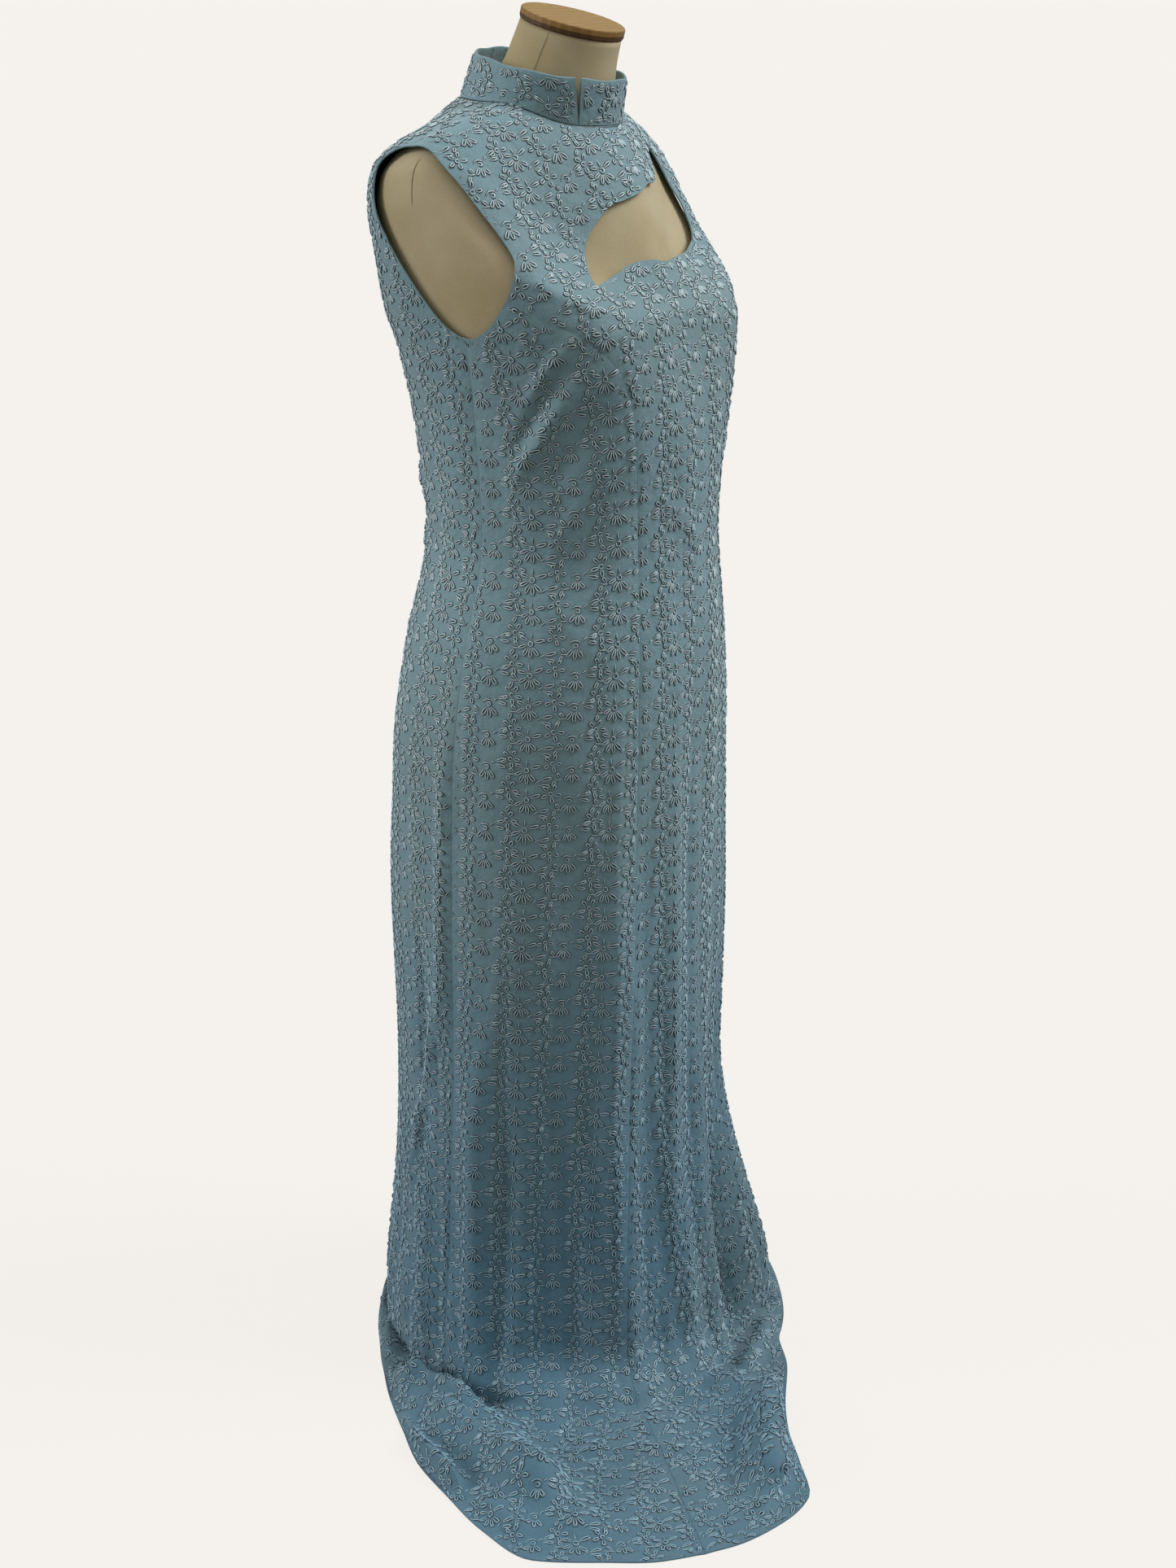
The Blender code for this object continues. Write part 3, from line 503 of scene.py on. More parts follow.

# Finishes: colours are linear, scales are repeats in a metre, and depths are in millimetres. Edges are
# the values between which one colour turns into another, and a fleck adds the tints that it gives.
# The cloth's colour at the top, and a darker, bluer one towards the floor: that change is painted shade of
# the light falling off downward
CLOTH_PALE = (0.190, 0.318, 0.368)
CLOTH_SHADED_LOW = (0.067, 0.160, 0.228)
CLOTH_GREY = (0.150, 0.205, 0.190)
# The heights, in metres, over which the painted shade towards the floor comes in
FALLOFF_SHADE_HEIGHT = (0.05, 0.75)
PATCH_SCALE = 3.5
PATCH_EDGES = (0.42, 0.68)
PATCH_SHARE = 0.3
CRINKLE_SCALE = 95
CRINKLE_DEPTH = 1.6
WEAVE_SCALE = 1400
WEAVE_DEPTH = 0.25
WEAVE_FLECK = (0.35, 0.7, 0.86, 1.08)
LINING_DARK = (0.15, 0.27, 0.33)
LINING_LIGHT = (0.20, 0.34, 0.41)
LINING_EDGES = (0.3, 0.7)
LINING_DEPTH = 0.2
# Cord colours: the foot ones are painted shade beside each cord, and the crest ones are the cords' own
# lighter tone with a painted highlight
FOOT_SHADE_PALE = (0.018, 0.036, 0.046)
FOOT_SHADE_DEEP = (0.009, 0.024, 0.037)
CORD_TONE_AND_HIGHLIGHT_PALE = (0.520, 0.670, 0.730)
CORD_TONE_AND_HIGHLIGHT_DEEP = (0.270, 0.450, 0.560)
CORD_GREY = (0.400, 0.490, 0.480)
THREAD_SCALE = 2200
THREAD_DEPTH = 0.15
CANVAS_LIGHT = (0.540, 0.455, 0.300)
CANVAS_DARK = (0.420, 0.335, 0.180)
# A darker copy of the canvas: painted shade in the sunk seam behind the arm plate
SEAM_SHADE_LIGHT = (0.160, 0.120, 0.066)
SEAM_SHADE_DARK = (0.110, 0.080, 0.042)
CANVAS_SCALE = 1500
CANVAS_DEPTH = 0.35
CANVAS_FLECK = (0.3, 0.7, 0.9, 1.08)
CANVAS_PATCH_SCALE = 9
CANVAS_PATCH_EDGES = (0.3, 0.72)
WOOD_FACE = ((0.305, 0.185, 0.058), (0.360, 0.225, 0.074))
WOOD_RIM = ((0.250, 0.135, 0.040), (0.290, 0.160, 0.048))
# Painted shade at the foot of the cap's rim, where it meets the canvas
WOOD_SHADED_FOOT = ((0.075, 0.036, 0.012), (0.090, 0.044, 0.014))
WOOD_GRAIN = (("Scale", 38.0), ("Distortion", 5.0), ("Detail", 3.0))
WOOD_GRAIN_EDGES = (0.2, 0.9)
# How far up the rim the painted shade at its foot reaches
WOOD_SHADED_FOOT_EDGES = (4.2, 5.2)
WOOD_FACE_EDGES = (0.6, 0.95)
METAL_BLACK = (0.016, 0.016, 0.017)
METAL_WORN = (0.04, 0.04, 0.042)
METAL_SCALE = 120
METAL_DEPTH = 0.1
METAL_EDGES = (0.4, 0.75)
METAL_ROUGHNESS = (0.3, 0.7, 0.38, 0.55)

# The studio: the colour that is seen behind the dress, the room's light from above and below, with the
# slopes between which it changes, and the floor, whose own light makes it one with the background.
# Two broad suns light the dress, and the camera looks at its right front, from above its waist.
BACKGROUND = (0.913, 0.888, 0.847)
SKY = (0.56, 0.54, 0.49)
GROUND = (0.20, 0.20, 0.19)
SKY_EDGES = (-0.3, 0.5)
FLOOR_SIZE = 120
FLOOR_SHARE = 0.06
FLOOR_FLECK = 1.01
FLOOR_FLECK_SCALE = 30
FLOOR_FLECK_EDGES = (0.3, 0.7)
FLOOR_GLOW = 0.932
Sun = namedtuple("Sun", "direction strength colour spread")
SUNS = {
    "right_key": Sun((0.400, -0.600, 0.690), 2.05, (0.95, 1.0, 1.04), 30),
    "left_key": Sun((-0.640, 0.690, 0.340), 1.35, (0.95, 1.0, 1.04), 30),
}
CAMERA_PLACE = (-1.706, -1.225, 1.250)
CAMERA_TURN = (71.8, 0, -55)
CAMERA_LENS = 53.58
CAMERA_REACH = 200


def smooth(xs, ys, x):
    """A monotone cubic through the points (xs, ys), read at x and held level past its ends."""
    xs = np.asarray(xs, float)
    ys = np.asarray(ys, float)
    steps = np.diff(xs)
    slopes = np.diff(ys) / steps
    tangents = np.concatenate([slopes[:1], np.zeros(len(xs) - 2), slopes[-1:]])
    for i in range(1, len(xs) - 1):
        before, after = slopes[i - 1], slopes[i]
        if before * after > 0:
            first = 2 * steps[i] + steps[i - 1]
            second = steps[i] + 2 * steps[i - 1]
            tangents[i] = (first + second) / (first / before + second / after)
    x = np.clip(np.asarray(x, float), xs[0], xs[-1])
    i = np.clip(np.searchsorted(xs, x, side="right") - 1, 0, len(xs) - 2)
    h = steps[i]
    t = (x - xs[i]) / h
    rise = (1 + 2 * t) * (1 - t) ** 2 * ys[i] + t * t * (3 - 2 * t) * ys[i + 1]
    return rise + h * (t * (1 - t) ** 2 * tangents[i] - t * t * (1 - t) * tangents[i + 1])


def ramp(x, start, end):
    """0 up to start and 1 from end on, with a soft change between them."""
    t = np.clip((np.asarray(x, float) - start) / (end - start), 0, 1)
    return t * t * (3 - 2 * t)


def bump(x, spread):
    """A soft hump of height 1 round 0."""
    return np.exp(-((x / spread) ** 2))


def turned(angle):
    """An angle brought between -180 and 180."""
    return (np.asarray(angle, float) + 180) % 360 - 180


def column(rows, name):
    return np.array([getattr(row, name) for row in rows], float)


def ring_value(name, down):
    rows = RINGS.values()
    return smooth(column(rows, "down"), column(rows, name), down)


def floor_value(name, angle):
    """A column of FLOOR read at an angle, all the way round."""
    angles = column(FLOOR, "angle")
    values = column(FLOOR, name)
    angles = np.concatenate([angles - 360, angles, angles + 360])
    return smooth(angles, np.tile(values, 3), turned(angle))


def ring_radius(angle, half_width, depth_front, depth_back, square_front, square_back):
    """How far a ring reaches from its side line, at an angle. A higher square is fuller at the corners."""
    across = np.abs(np.sin(np.radians(angle)))
    along = np.cos(np.radians(angle))
    depth = np.where(along > 0, depth_front, depth_back)
    square = np.where(along > 0, square_front, square_back)
    parts = (across / half_width) ** square + (np.abs(along) / depth) ** square
    return parts ** (-1 / square)


def tilted_height(angle, z_front, z_side, z_back):
    across = np.abs(np.sin(np.radians(angle))) ** SHOULDER_RIDGE
    along = np.cos(np.radians(angle))
    return z_side * across + np.where(along > 0, z_front, z_back) * (1 - across)


def from_polar(angle, radius, y_side, z):
    turn = np.radians(angle)
    return np.stack([radius * np.sin(turn), y_side - radius * np.cos(turn), z], axis=-1)


def level_way(angle):
    """The level directions out from the body at angles."""
    turn = np.radians(angle)
    return np.stack([np.sin(turn), -np.cos(turn), np.zeros_like(turn)], axis=-1)


def fold_depth(folds, angle, down):
    """How far upright folds stand out from the skirt's rings."""
    total = np.zeros_like(angle)
    for fold in folds.values():
        grown = ramp(down, fold.start, LANDED)
        middle = fold.angle_top + (fold.angle_low - fold.angle_top) * grown
        total += fold.out * grown * bump(turned(angle - middle), fold.spread)
    return total


def on_floor(angle, reach):
    turn = math.radians(angle)
    return reach * math.sin(turn), -reach * math.cos(turn)


def off_line(line, angle, reach):
    """How far a place on the floor is from a straight line there."""
    x = reach * np.sin(np.radians(angle))
    y = -reach * np.cos(np.radians(angle))
    start_x, start_y = on_floor(line.angle_from, line.reach_from)
    end_x, end_y = on_floor(line.angle_to, line.reach_to)
    way_x, way_y = end_x - start_x, end_y - start_y
    held = np.clip(((x - start_x) * way_x + (y - start_y) * way_y) / (way_x**2 + way_y**2), 0, 1)
    return np.hypot(x - start_x - held * way_x, y - start_y - held * way_y)


def floor_height(angle, reach, outward, beyond):
    """How high the cloth lies above its place on the floor.

    outward is 0 where the cloth lands and 1 at the hem, and beyond is the way out from the landing.
    """
    total = np.zeros_like(angle)
    for fold in FOLDS.values():
        spread = fold.spread * FLOOR_FOLD_SPREAD
        flattening = (1 - outward) ** FLOOR_FOLD_FALL
        total += fold.floor_height * bump(turned(angle - fold.angle_low), spread) * flattening
    for roll in ROLLS.values():
        total += roll.height * bump(off_line(roll, angle, reach), roll.width)
    return total * ramp(beyond, 0, FLOOR_RISE) * (1 - ramp(outward, *HEM_FALL))


def body_radius(angle, down):
    """How far the rings reach from their side line, with the bust."""
    radius = ring_radius(
        angle,
        ring_value("half_width", down),
        ring_value("depth_front", down),
        ring_value("depth_back", down),
        ring_value("square_front", down),
        ring_value("square_back", down),
    )
    bust = bump(down - BUST_DOWN, BUST_LENGTH)
    for side in (-1, 1):
        radius = radius + BUST_OUT * bust * bump(turned(angle - side * BUST_ANGLE), BUST_SPREAD)
    return radius


def body_height(angle, down):
    return tilted_height(
        angle, ring_value("z_front", down), ring_value("z_side", down), ring_value("z_back", down)
    )


def cloth_plain(angle, down):
    """The middle of the cloth's wall, as the solids have it."""
    angle = np.asarray(angle, float)
    down = np.asarray(down, float)
    radius = body_radius(angle, down)
    z = body_height(angle, down)
    ankle = RINGS["ankle"]
    landing = np.clip((down - ankle.down) / (LANDED - ankle.down), 0, 1)
    lands = floor_value("lands", angle)
    radius = radius + fold_depth(FOLDS, angle, down)
    radius = radius + (lands - radius) * landing**2
    outward = np.clip((down - LANDED) / (HEM - LANDED), 0, 1)
    beyond = (floor_value("reaches", angle) - lands) * outward
    radius = radius + beyond
    lying = WALL / 2
    falling = lying + (ankle.z_side - lying) * (1 - landing) ** LAND_BEND
    z = np.where(down > ankle.down, falling, z)
    z = z + floor_height(angle, radius, outward, beyond)
    return from_polar(angle, radius, ring_value("y_side", down), z)


def seam_angle(seam, side, down):
    """The angle of a seam: side is 1 on the wearer's right, where it is written, and -1 mirrors it."""
    return side * smooth([row[0] for row in seam], [row[1] for row in seam], down)


def crease_height(angle, down):
    """How far the drag lines stand out."""
    total = np.zeros_like(angle)
    for crease in CREASES:
        across = turned(angle - crease.angle_from) * FLAT_PER_DEGREE
        along = down - crease.down_from
        way_across = (crease.angle_to - crease.angle_from) * FLAT_PER_DEGREE
        way_along = crease.down_to - crease.down_from
        length = math.hypot(way_across, way_along)
        place = (across * way_across + along * way_along) / length**2
        off = (across * way_along - along * way_across) / length
        ends = ramp(place, 0, CREASE_FADE) * (1 - ramp(place, 1 - CREASE_FADE, 1))
        total += crease.out * bump(off, crease.width) * ends
    return total


def lying_height(angle, down):
    """How far the lying cloth's own ridges and troughs stand out."""
    outward = np.clip((down - LANDED) / (HEM - LANDED), 0, 1)
    lands = floor_value("lands", angle)
    reach = lands + (floor_value("reaches", angle) - lands) * outward
    total = np.zeros_like(angle)
    for line in LYING:
        total += line.out * bump(off_line(line, angle, reach), line.width)
    return total * ramp(outward, *LYING_START) * (1 - ramp(outward, *LYING_END))


def seam_dip(angle, down):
    """How far the cloth is drawn in along its seams, with small puckers beside them."""
    total = np.zeros_like(angle)
    turns = 2 * math.pi * down / PUCKER_LENGTH
    for line in SEAMS.values():
        started = ramp(down, line.start - SEAM_FADE, line.start)
        there = started * (1 - ramp(down, line.end, line.end + SEAM_FADE))
        for side in line.sides:
            off = turned(angle - seam_angle(line.seam, side, down)) * FLAT_PER_DEGREE
            pucker = np.sin(turns + PUCKER_WANDER * np.sin(turns / PUCKER_DRIFT + side * line.phase))
            dip = -SEAM_DIP * bump(off, SEAM_WIDTH) + PUCKER_OUT * pucker * bump(off, PUCKER_WIDTH)
            total += dip * there
    return total


def drape_depth(angle, down):
    """How far the finer hanging folds stand out."""
    turn = np.radians(angle)
    total = np.zeros_like(angle)
    for drape in DRAPES:
        wander = drape.wander * np.sin(2 * math.pi * down / drape.length + drape.phase)
        share = DRAPES_LEAST + (1 - DRAPES_LEAST) * np.sin(DRAPES_CHANGES * turn + drape.phase) ** 2
        total += drape.out * share * np.sin(drape.around * turn + drape.phase + wander)
    return total * ramp(down, DRAPES_START, DRAPES_FULL)


def soft_waves(angle, down):
    """Slight unevenness that no worn cloth is without."""
    turn = np.radians(angle)
    total = np.zeros_like(angle)
    for wave in WAVES:
        total += wave.out * np.sin(wave.around * turn + wave.phase) * np.sin(
            2 * math.pi * down / wave.length + wave.phase * wave.around
        )
    return total * ramp(down, WAVES_START, WAVES_FULL)


def swelling(swell, angle, down):
    """How far a single swelling stands out."""
    return swell.out * bump(turned(angle - swell.angle), swell.spread) * bump(down - swell.down, swell.length)


def detail(angle, down):
    """What is added to the solids' surface, square to it."""
    hanging = 1 - ramp(down, LANDED, LANDED + LYING_FADE)
    folds = fold_depth(SOFT_FOLDS, angle, down) + drape_depth(angle, down)
    folds *= LYING_SHARE + (1 - LYING_SHARE) * hanging
    above_hem = 1 - ramp(down, HEM - HEM_FADE, HEM)
    risen = crease_height(angle, down) + soft_waves(angle, down) + folds
    risen = risen + swelling(BELLY, angle, down) + lying_height(angle, down)
    return risen * above_hem + seam_dip(angle, down) + swelling(ARMHOLE_EDGE, angle, down)


def unit(vectors):
    return vectors / np.linalg.norm(vectors, axis=-1, keepdims=True)


def surface(angle, down):
    """(points, outward normals) of the dressed cloth, in millimetres."""
    angle = np.asarray(angle, float)
    down = np.asarray(down, float)
    lower, upper = np.minimum(down + SMALL_DOWN, HEM), np.maximum(down - SMALL_DOWN, 0)
    round_it = cloth_plain(angle + SMALL_TURN, down) - cloth_plain(angle - SMALL_TURN, down)
    down_it = cloth_plain(angle, lower) - cloth_plain(angle, upper)
    plain = unit(np.cross(round_it, -down_it))
    points = cloth_plain(angle, down) + detail(angle, down)[..., None] * plain
    points[..., 2] = np.maximum(points[..., 2], LOWEST)
    round_rise = detail(angle + SMALL_TURN, down) - detail(angle - SMALL_TURN, down)
    down_rise = detail(angle, lower) - detail(angle, upper)
    round_it = round_it + round_rise[..., None] * plain
    down_it = down_it + down_rise[..., None] * plain
    return points, unit(np.cross(round_it, -down_it))


def cloth(angle, down, out):
    """Points that stand out from the cloth's middle, clear of the floor."""
    points, normals = surface(angle, down)
    points = points + out * normals
    points[..., 2] = np.maximum(points[..., 2], FLOOR_CLEAR + max(out, 0))
    return points


def seam_edge(seam, side, down, way):
    """(angle, down) on one edge of a seam, half its gap away. way is 1 towards the wearer's left, or -1."""
    down = np.asarray(down, float)
    angle = seam_angle(seam, side, down)
    turn = (seam_angle(seam, side, down + 1) - seam_angle(seam, side, down - 1)) / 2
    reach = np.linalg.norm(cloth_plain(angle, down)[..., :2], axis=-1)
    slant = np.hypot(1, np.radians(turn) * reach)
    return np.stack([angle + way * np.degrees(slant * SEAM_GAP / 2 / reach), down], axis=-1)


def seam_line(seam, side, start, way):
    """The points of one edge of a seam below a start, down to the hem."""
    return list(seam_edge(seam, side, [down for down in LEVELS if down > start + SHORTEST_STEP], way))


def curve_through(points, corners, per_span):
    """A closed round curve through points, turning sharply at its corners."""
    count = len(points)
    made = []
    for i in range(count):
        p1 = np.array(points[i], float)
        p2 = np.array(points[(i + 1) % count], float)
        p0 = 2 * p1 - p2 if corners[i] else np.array(points[i - 1], float)
        p3 = 2 * p2 - p1 if corners[(i + 1) % count] else np.array(points[(i + 2) % count], float)
        for step in range(per_span):
            t = step / per_span
            made.append(
                0.5 * (2 * p1 + (p2 - p0) * t + (2 * p0 - 5 * p1 + 4 * p2 - p3) * t * t
                       + (3 * p1 - p0 - 3 * p2 + p3) * t**3)
            )
    return [(float(a), float(d)) for a, d in made]


class Armhole:
    """One armhole's closed line. side is 1 on the wearer's right and -1 on the left."""

    def __init__(self, side):
        self.side = side
        points = [(side * angle, down) for angle, down in ARMHOLE]
        self.line = curve_through(points, [False] * len(points), ARMHOLE_STEPS)

    def meets(self, seam):
        """Where a seam crosses the line, as a place along it. The shoulder seam ends where it first does."""
        found = []
        for i, (a1, d1) in enumerate(self.line):
            a2, d2 = self.line[(i + 1) % len(self.line)]
            off1 = a1 - float(seam_angle(seam, self.side, d1))
            off2 = a2 - float(seam_angle(seam, self.side, d2))
            if off1 * off2 <= 0 and off1 != off2:
                t = off1 / (off1 - off2)
                found.append((d1 + t * (d2 - d1), i + t))
        return min(found)[1] if seam is SHOULDER_SEAM else max(found)[1]

    def edge(self, seam, place, way):
        """The corner of a panel where one edge of a seam comes to the line."""
        i = int(place) % len(self.line)
        start, end = self.line[i][1], self.line[(i + 1) % len(self.line)][1]
        return seam_edge(seam, self.side, start + place % 1 * (end - start), way)

    def stretch(self, first, first_way, second, second_way):
        """The line from one seam on to another, with its ends on the edges of the seams."""
        start, end = self.meets(first), self.meets(second)
        if end < start:
            end += len(self.line)
        inner = [
            self.line[i % len(self.line)]
            for i in range(math.ceil(start + ARMHOLE_END_ROOM), math.floor(end - ARMHOLE_END_ROOM) + 1)
        ]
        return [self.edge(first, start, first_way)] + inner + [self.edge(second, end, second_way)]


def row_line(down, start, end, step):
    """The points of a level line between two angles, without its ends."""
    low = min(start, end) + ROW_END_ROOM * step
    high = max(start, end) - ROW_END_ROOM * step
    angles = [a for a in np.arange(-360, 361, step) if low < a < high]
    if start > end:
        angles.reverse()
    return [(float(a), down) for a in angles]


def cutout_line():
    return curve_through(
        [(angle, down) for angle, down, _ in CUTOUT], [corner for _, _, corner in CUTOUT], CUTOUT_STEPS
    )


def front_centre_outline():
    """Round the front: along the neckline, down the wearer's left, along the hem and up the right."""
    sides = []
    for side in (-1, 1):
        neck = seam_edge(SHOULDER_SEAM, side, 0, side)
        armhole = Armhole(side).stretch(SHOULDER_SEAM, side, FRONT_PRINCESS, side)
        shoulder = shoulder_line(side, armhole[0][1], side)
        seam = seam_line(FRONT_PRINCESS, side, armhole[-1][1], side)
        sides.append([neck] + shoulder + armhole + seam)
    left, right = sides
    neckline = row_line(0, right[0][0], left[0][0], ANGLE_STEP)
    hem = row_line(HEM, left[-1][0], right[-1][0], FINE_STEP)
    return neckline + left + hem + right[::-1]


def shoulder_line(side, end, way):
    """The points of one edge of the shoulder seam, between the neckline and the armhole."""
    downs = [down for down in LEVELS if SHORTEST_STEP < down < end - SHORTEST_STEP]
    return list(seam_edge(SHOULDER_SEAM, side, downs, way))


def between_seams_outline(side, first, second):
    """A panel that starts at the armhole, between two seams. first comes first along the armhole's line."""
    top = Armhole(side).stretch(first, -side, second, side)
    down_second = seam_line(second, side, top[-1][1], side)
    down_first = seam_line(first, side, top[0][1], -side)
    hem = row_line(HEM, down_second[-1][0], down_first[-1][0], FINE_STEP)
    return top + down_second + hem + down_first[::-1]


def back_outline(side):
    """A back, from the shoulder seam to the centre back, on one side."""
    centre = list(seam_edge(CENTRE_BACK, side, LEVELS, side))
    neck = seam_edge(SHOULDER_SEAM, side, 0, -side)
    armhole = Armhole(side).stretch(BACK_PRINCESS, -side, SHOULDER_SEAM, -side)
    seam = seam_line(BACK_PRINCESS, side, armhole[0][1], -side)
    outline = [centre[0]] + row_line(0, centre[0][0], neck[0], ANGLE_STEP) + [neck]
    outline += shoulder_line(side, armhole[-1][1], -side)
    outline += armhole[::-1] + seam
    outline += row_line(HEM, seam[-1][0], centre[-1][0], FINE_STEP)
    return outline + centre[:0:-1]


def triangles_of(polygons):
    """The polygons as triangles that look outward."""
    return [(face[0], face[i + 1], face[i]) for face in polygons for i in range(1, len(face) - 1)]


def flat(points):
    return np.array([(angle * FLAT_PER_DEGREE, down) for angle, down in points], float)


def line_tree(lines):
    """A search tree of points closely along flat lines, each given by its two ends."""
    spots = []
    for start, end in lines:
        steps = max(1, round(np.linalg.norm(end - start) / LINE_STEP))
        spots.append(start + (end - start) * np.linspace(0, 1, steps, endpoint=False)[:, None])
    spots = np.concatenate(spots)
    tree = KDTree(len(spots))
    for i, (x, y) in enumerate(spots):
        tree.insert((x, y, 0), i)
    tree.balance()
    return tree


def distances(points, tree):
    return np.array([tree.find((x, y, 0))[2] for x, y in points])


def within(points, loop):
    """Which flat points are inside a closed loop."""
    inside = np.zeros(len(points), bool)
    for (x1, y1), (x2, y2) in zip(loop, np.roll(loop, -1, axis=0)):
        crossed = (y1 > points[:, 1]) != (y2 > points[:, 1])
        slope = (x2 - x1) / (y2 - y1) if y1 != y2 else 0
        inside ^= crossed & (points[:, 0] < x1 + (points[:, 1] - y1) * slope)
    return inside


def cut_pattern(outline, holes, levels, coarser):
    """A panel's triangles: points inside its outline, joined, with the holes left open."""
    loops = [flat(outline)] + [flat(hole) for hole in holes]
    low, high = min(a for a, _ in outline), max(a for a, _ in outline)
    inner = []
    for down in levels[1:-1]:
        step = coarser * (FINE_STEP if down > FINE_FROM else ANGLE_STEP)
        inner += [(a, down) for a in np.arange(-360, 361, step) if low < a < high]
    inner = flat(inner)
    borders = line_tree([ends for loop in loops for ends in zip(loop, np.roll(loop, -1, axis=0))])
    inner = inner[distances(inner, borders) > coarser * NEAR_EDGE]
    for hole in loops[1:]:
        inner = inner[~within(inner, hole)]
    points, edges = [], []
    for loop in loops:
        start = len(points)
        points += [Vector(p) for p in loop]
        edges += [(start + i, start + (i + 1) % len(loop)) for i in range(len(loop))]
    points += [Vector(p) for p in inner]
    made = geometry.delaunay_2d_cdt(points, edges, [], INSIDE_WITH_HOLES, JOIN_ROOM)
    faces = triangles_of(made[2])
    middles = np.array(made[0])[np.array(faces)].mean(axis=1)
    for hole in loops[1:]:
        open_there = within(middles, hole)
        faces = [face for face, is_open in zip(faces, open_there) if not is_open]
        middles = middles[~open_there]
    pattern = np.array([(p[0] / FLAT_PER_DEGREE, p[1]) for p in made[0]])
    return pattern, faces


def open_edges(faces):
    """The directed edges that only one face has."""
    used = {}
    for face in faces:
        for a, b in zip(face, face[1:] + face[:1]):
            used[(a, b)] = used.get((a, b), 0) + 1
    return [(a, b) for a, b in used if (b, a) not in used]


def shell(angle, down, faces):
    """A thin closed shell on the cloth, with its rims rounded."""
    outer = cloth(angle, down, OUTER)
    inner = cloth(angle, down, INNER)
    count = len(outer)
    edges = open_edges(faces)
    rim = sorted({a for edge in edges for a in edge})
    place = {a: 2 * count + i for i, a in enumerate(rim)}
    middle, normals = surface(angle, down)
    push = np.zeros((count, 3))
    for a, b in edges:
        way = np.cross(middle[b] - middle[a], normals[a])
        way /= max(np.linalg.norm(way), SHORTEST_WAY)
        push[a] += way
        push[b] += way
    push = unit(push[rim])
    rounded = (outer[rim] + inner[rim]) / 2 + RIM_ROUND * push
    made = list(faces) + [tuple(i + count for i in reversed(face)) for face in faces]
    for a, b in edges:
        made.append((b, a, place[a], place[b]))
        made.append((place[b], place[a], a + count, b + count))
    return np.concatenate([outer, inner, rounded]), made


def new_object(name, data):
    made = bpy.data.objects.new(name, data)
    bpy.context.scene.collection.objects.link(made)
    return made


def new_piece(name, points, faces, materials, node=None, sharp=180):
    """A shown piece from points in millimetres, on the root body."""
    mesh = bpy.data.meshes.new(name)
    mesh.from_pydata(np.asarray(points) * MM, [], faces)
    mesh.shade_smooth()
    mesh.set_sharp_from_angle(angle=math.radians(sharp))
    for material in materials:
        mesh.materials.append(material)
    made = new_object(name, mesh)
    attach(made, "root")
    if node:
        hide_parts(node)
    return made


def laid_flat(points, faces):
    """The flat places of a panel's points, in millimetres: right along the cloth, and down its grain."""
    mesh = bpy.data.meshes.new("laid_flat")
    mesh.from_pydata([tuple(p) for p in points * MM], [], faces)
    laid = new_object("laid_flat", mesh)
    bpy.context.view_layer.objects.active = laid
    laid.select_set(True)
    bpy.ops.object.mode_set(mode="EDIT")
    bpy.ops.mesh.select_all(action="SELECT")
    bpy.ops.uv.unwrap(method="MINIMUM_STRETCH", margin=0)
    bpy.ops.object.mode_set(mode="OBJECT")
    corners = np.empty(len(mesh.loops) * 2)
    mesh.uv_layers[0].data.foreach_get("uv", corners)
    owners = np.empty(len(mesh.loops), int)
    mesh.loops.foreach_get("vertex_index", owners)
    flat_points = np.zeros((len(points), 2))
    flat_points[owners] = corners.reshape(-1, 2)
    bpy.data.objects.remove(laid)
    bpy.data.meshes.remove(mesh)
    return flat_points


def cross(first, second):
    """How far flat vectors turn from one another, times their lengths."""
    return first[:, 0] * second[:, 1] - first[:, 1] * second[:, 0]


def triangle_areas(points, faces):
    corners = points[np.array(faces)]
    first, second = corners[:, 1] - corners[:, 0], corners[:, 2] - corners[:, 0]
    if points.shape[1] == 2:
        return np.abs(cross(first, second)) / 2
    return np.linalg.norm(np.cross(first, second), axis=1) / 2


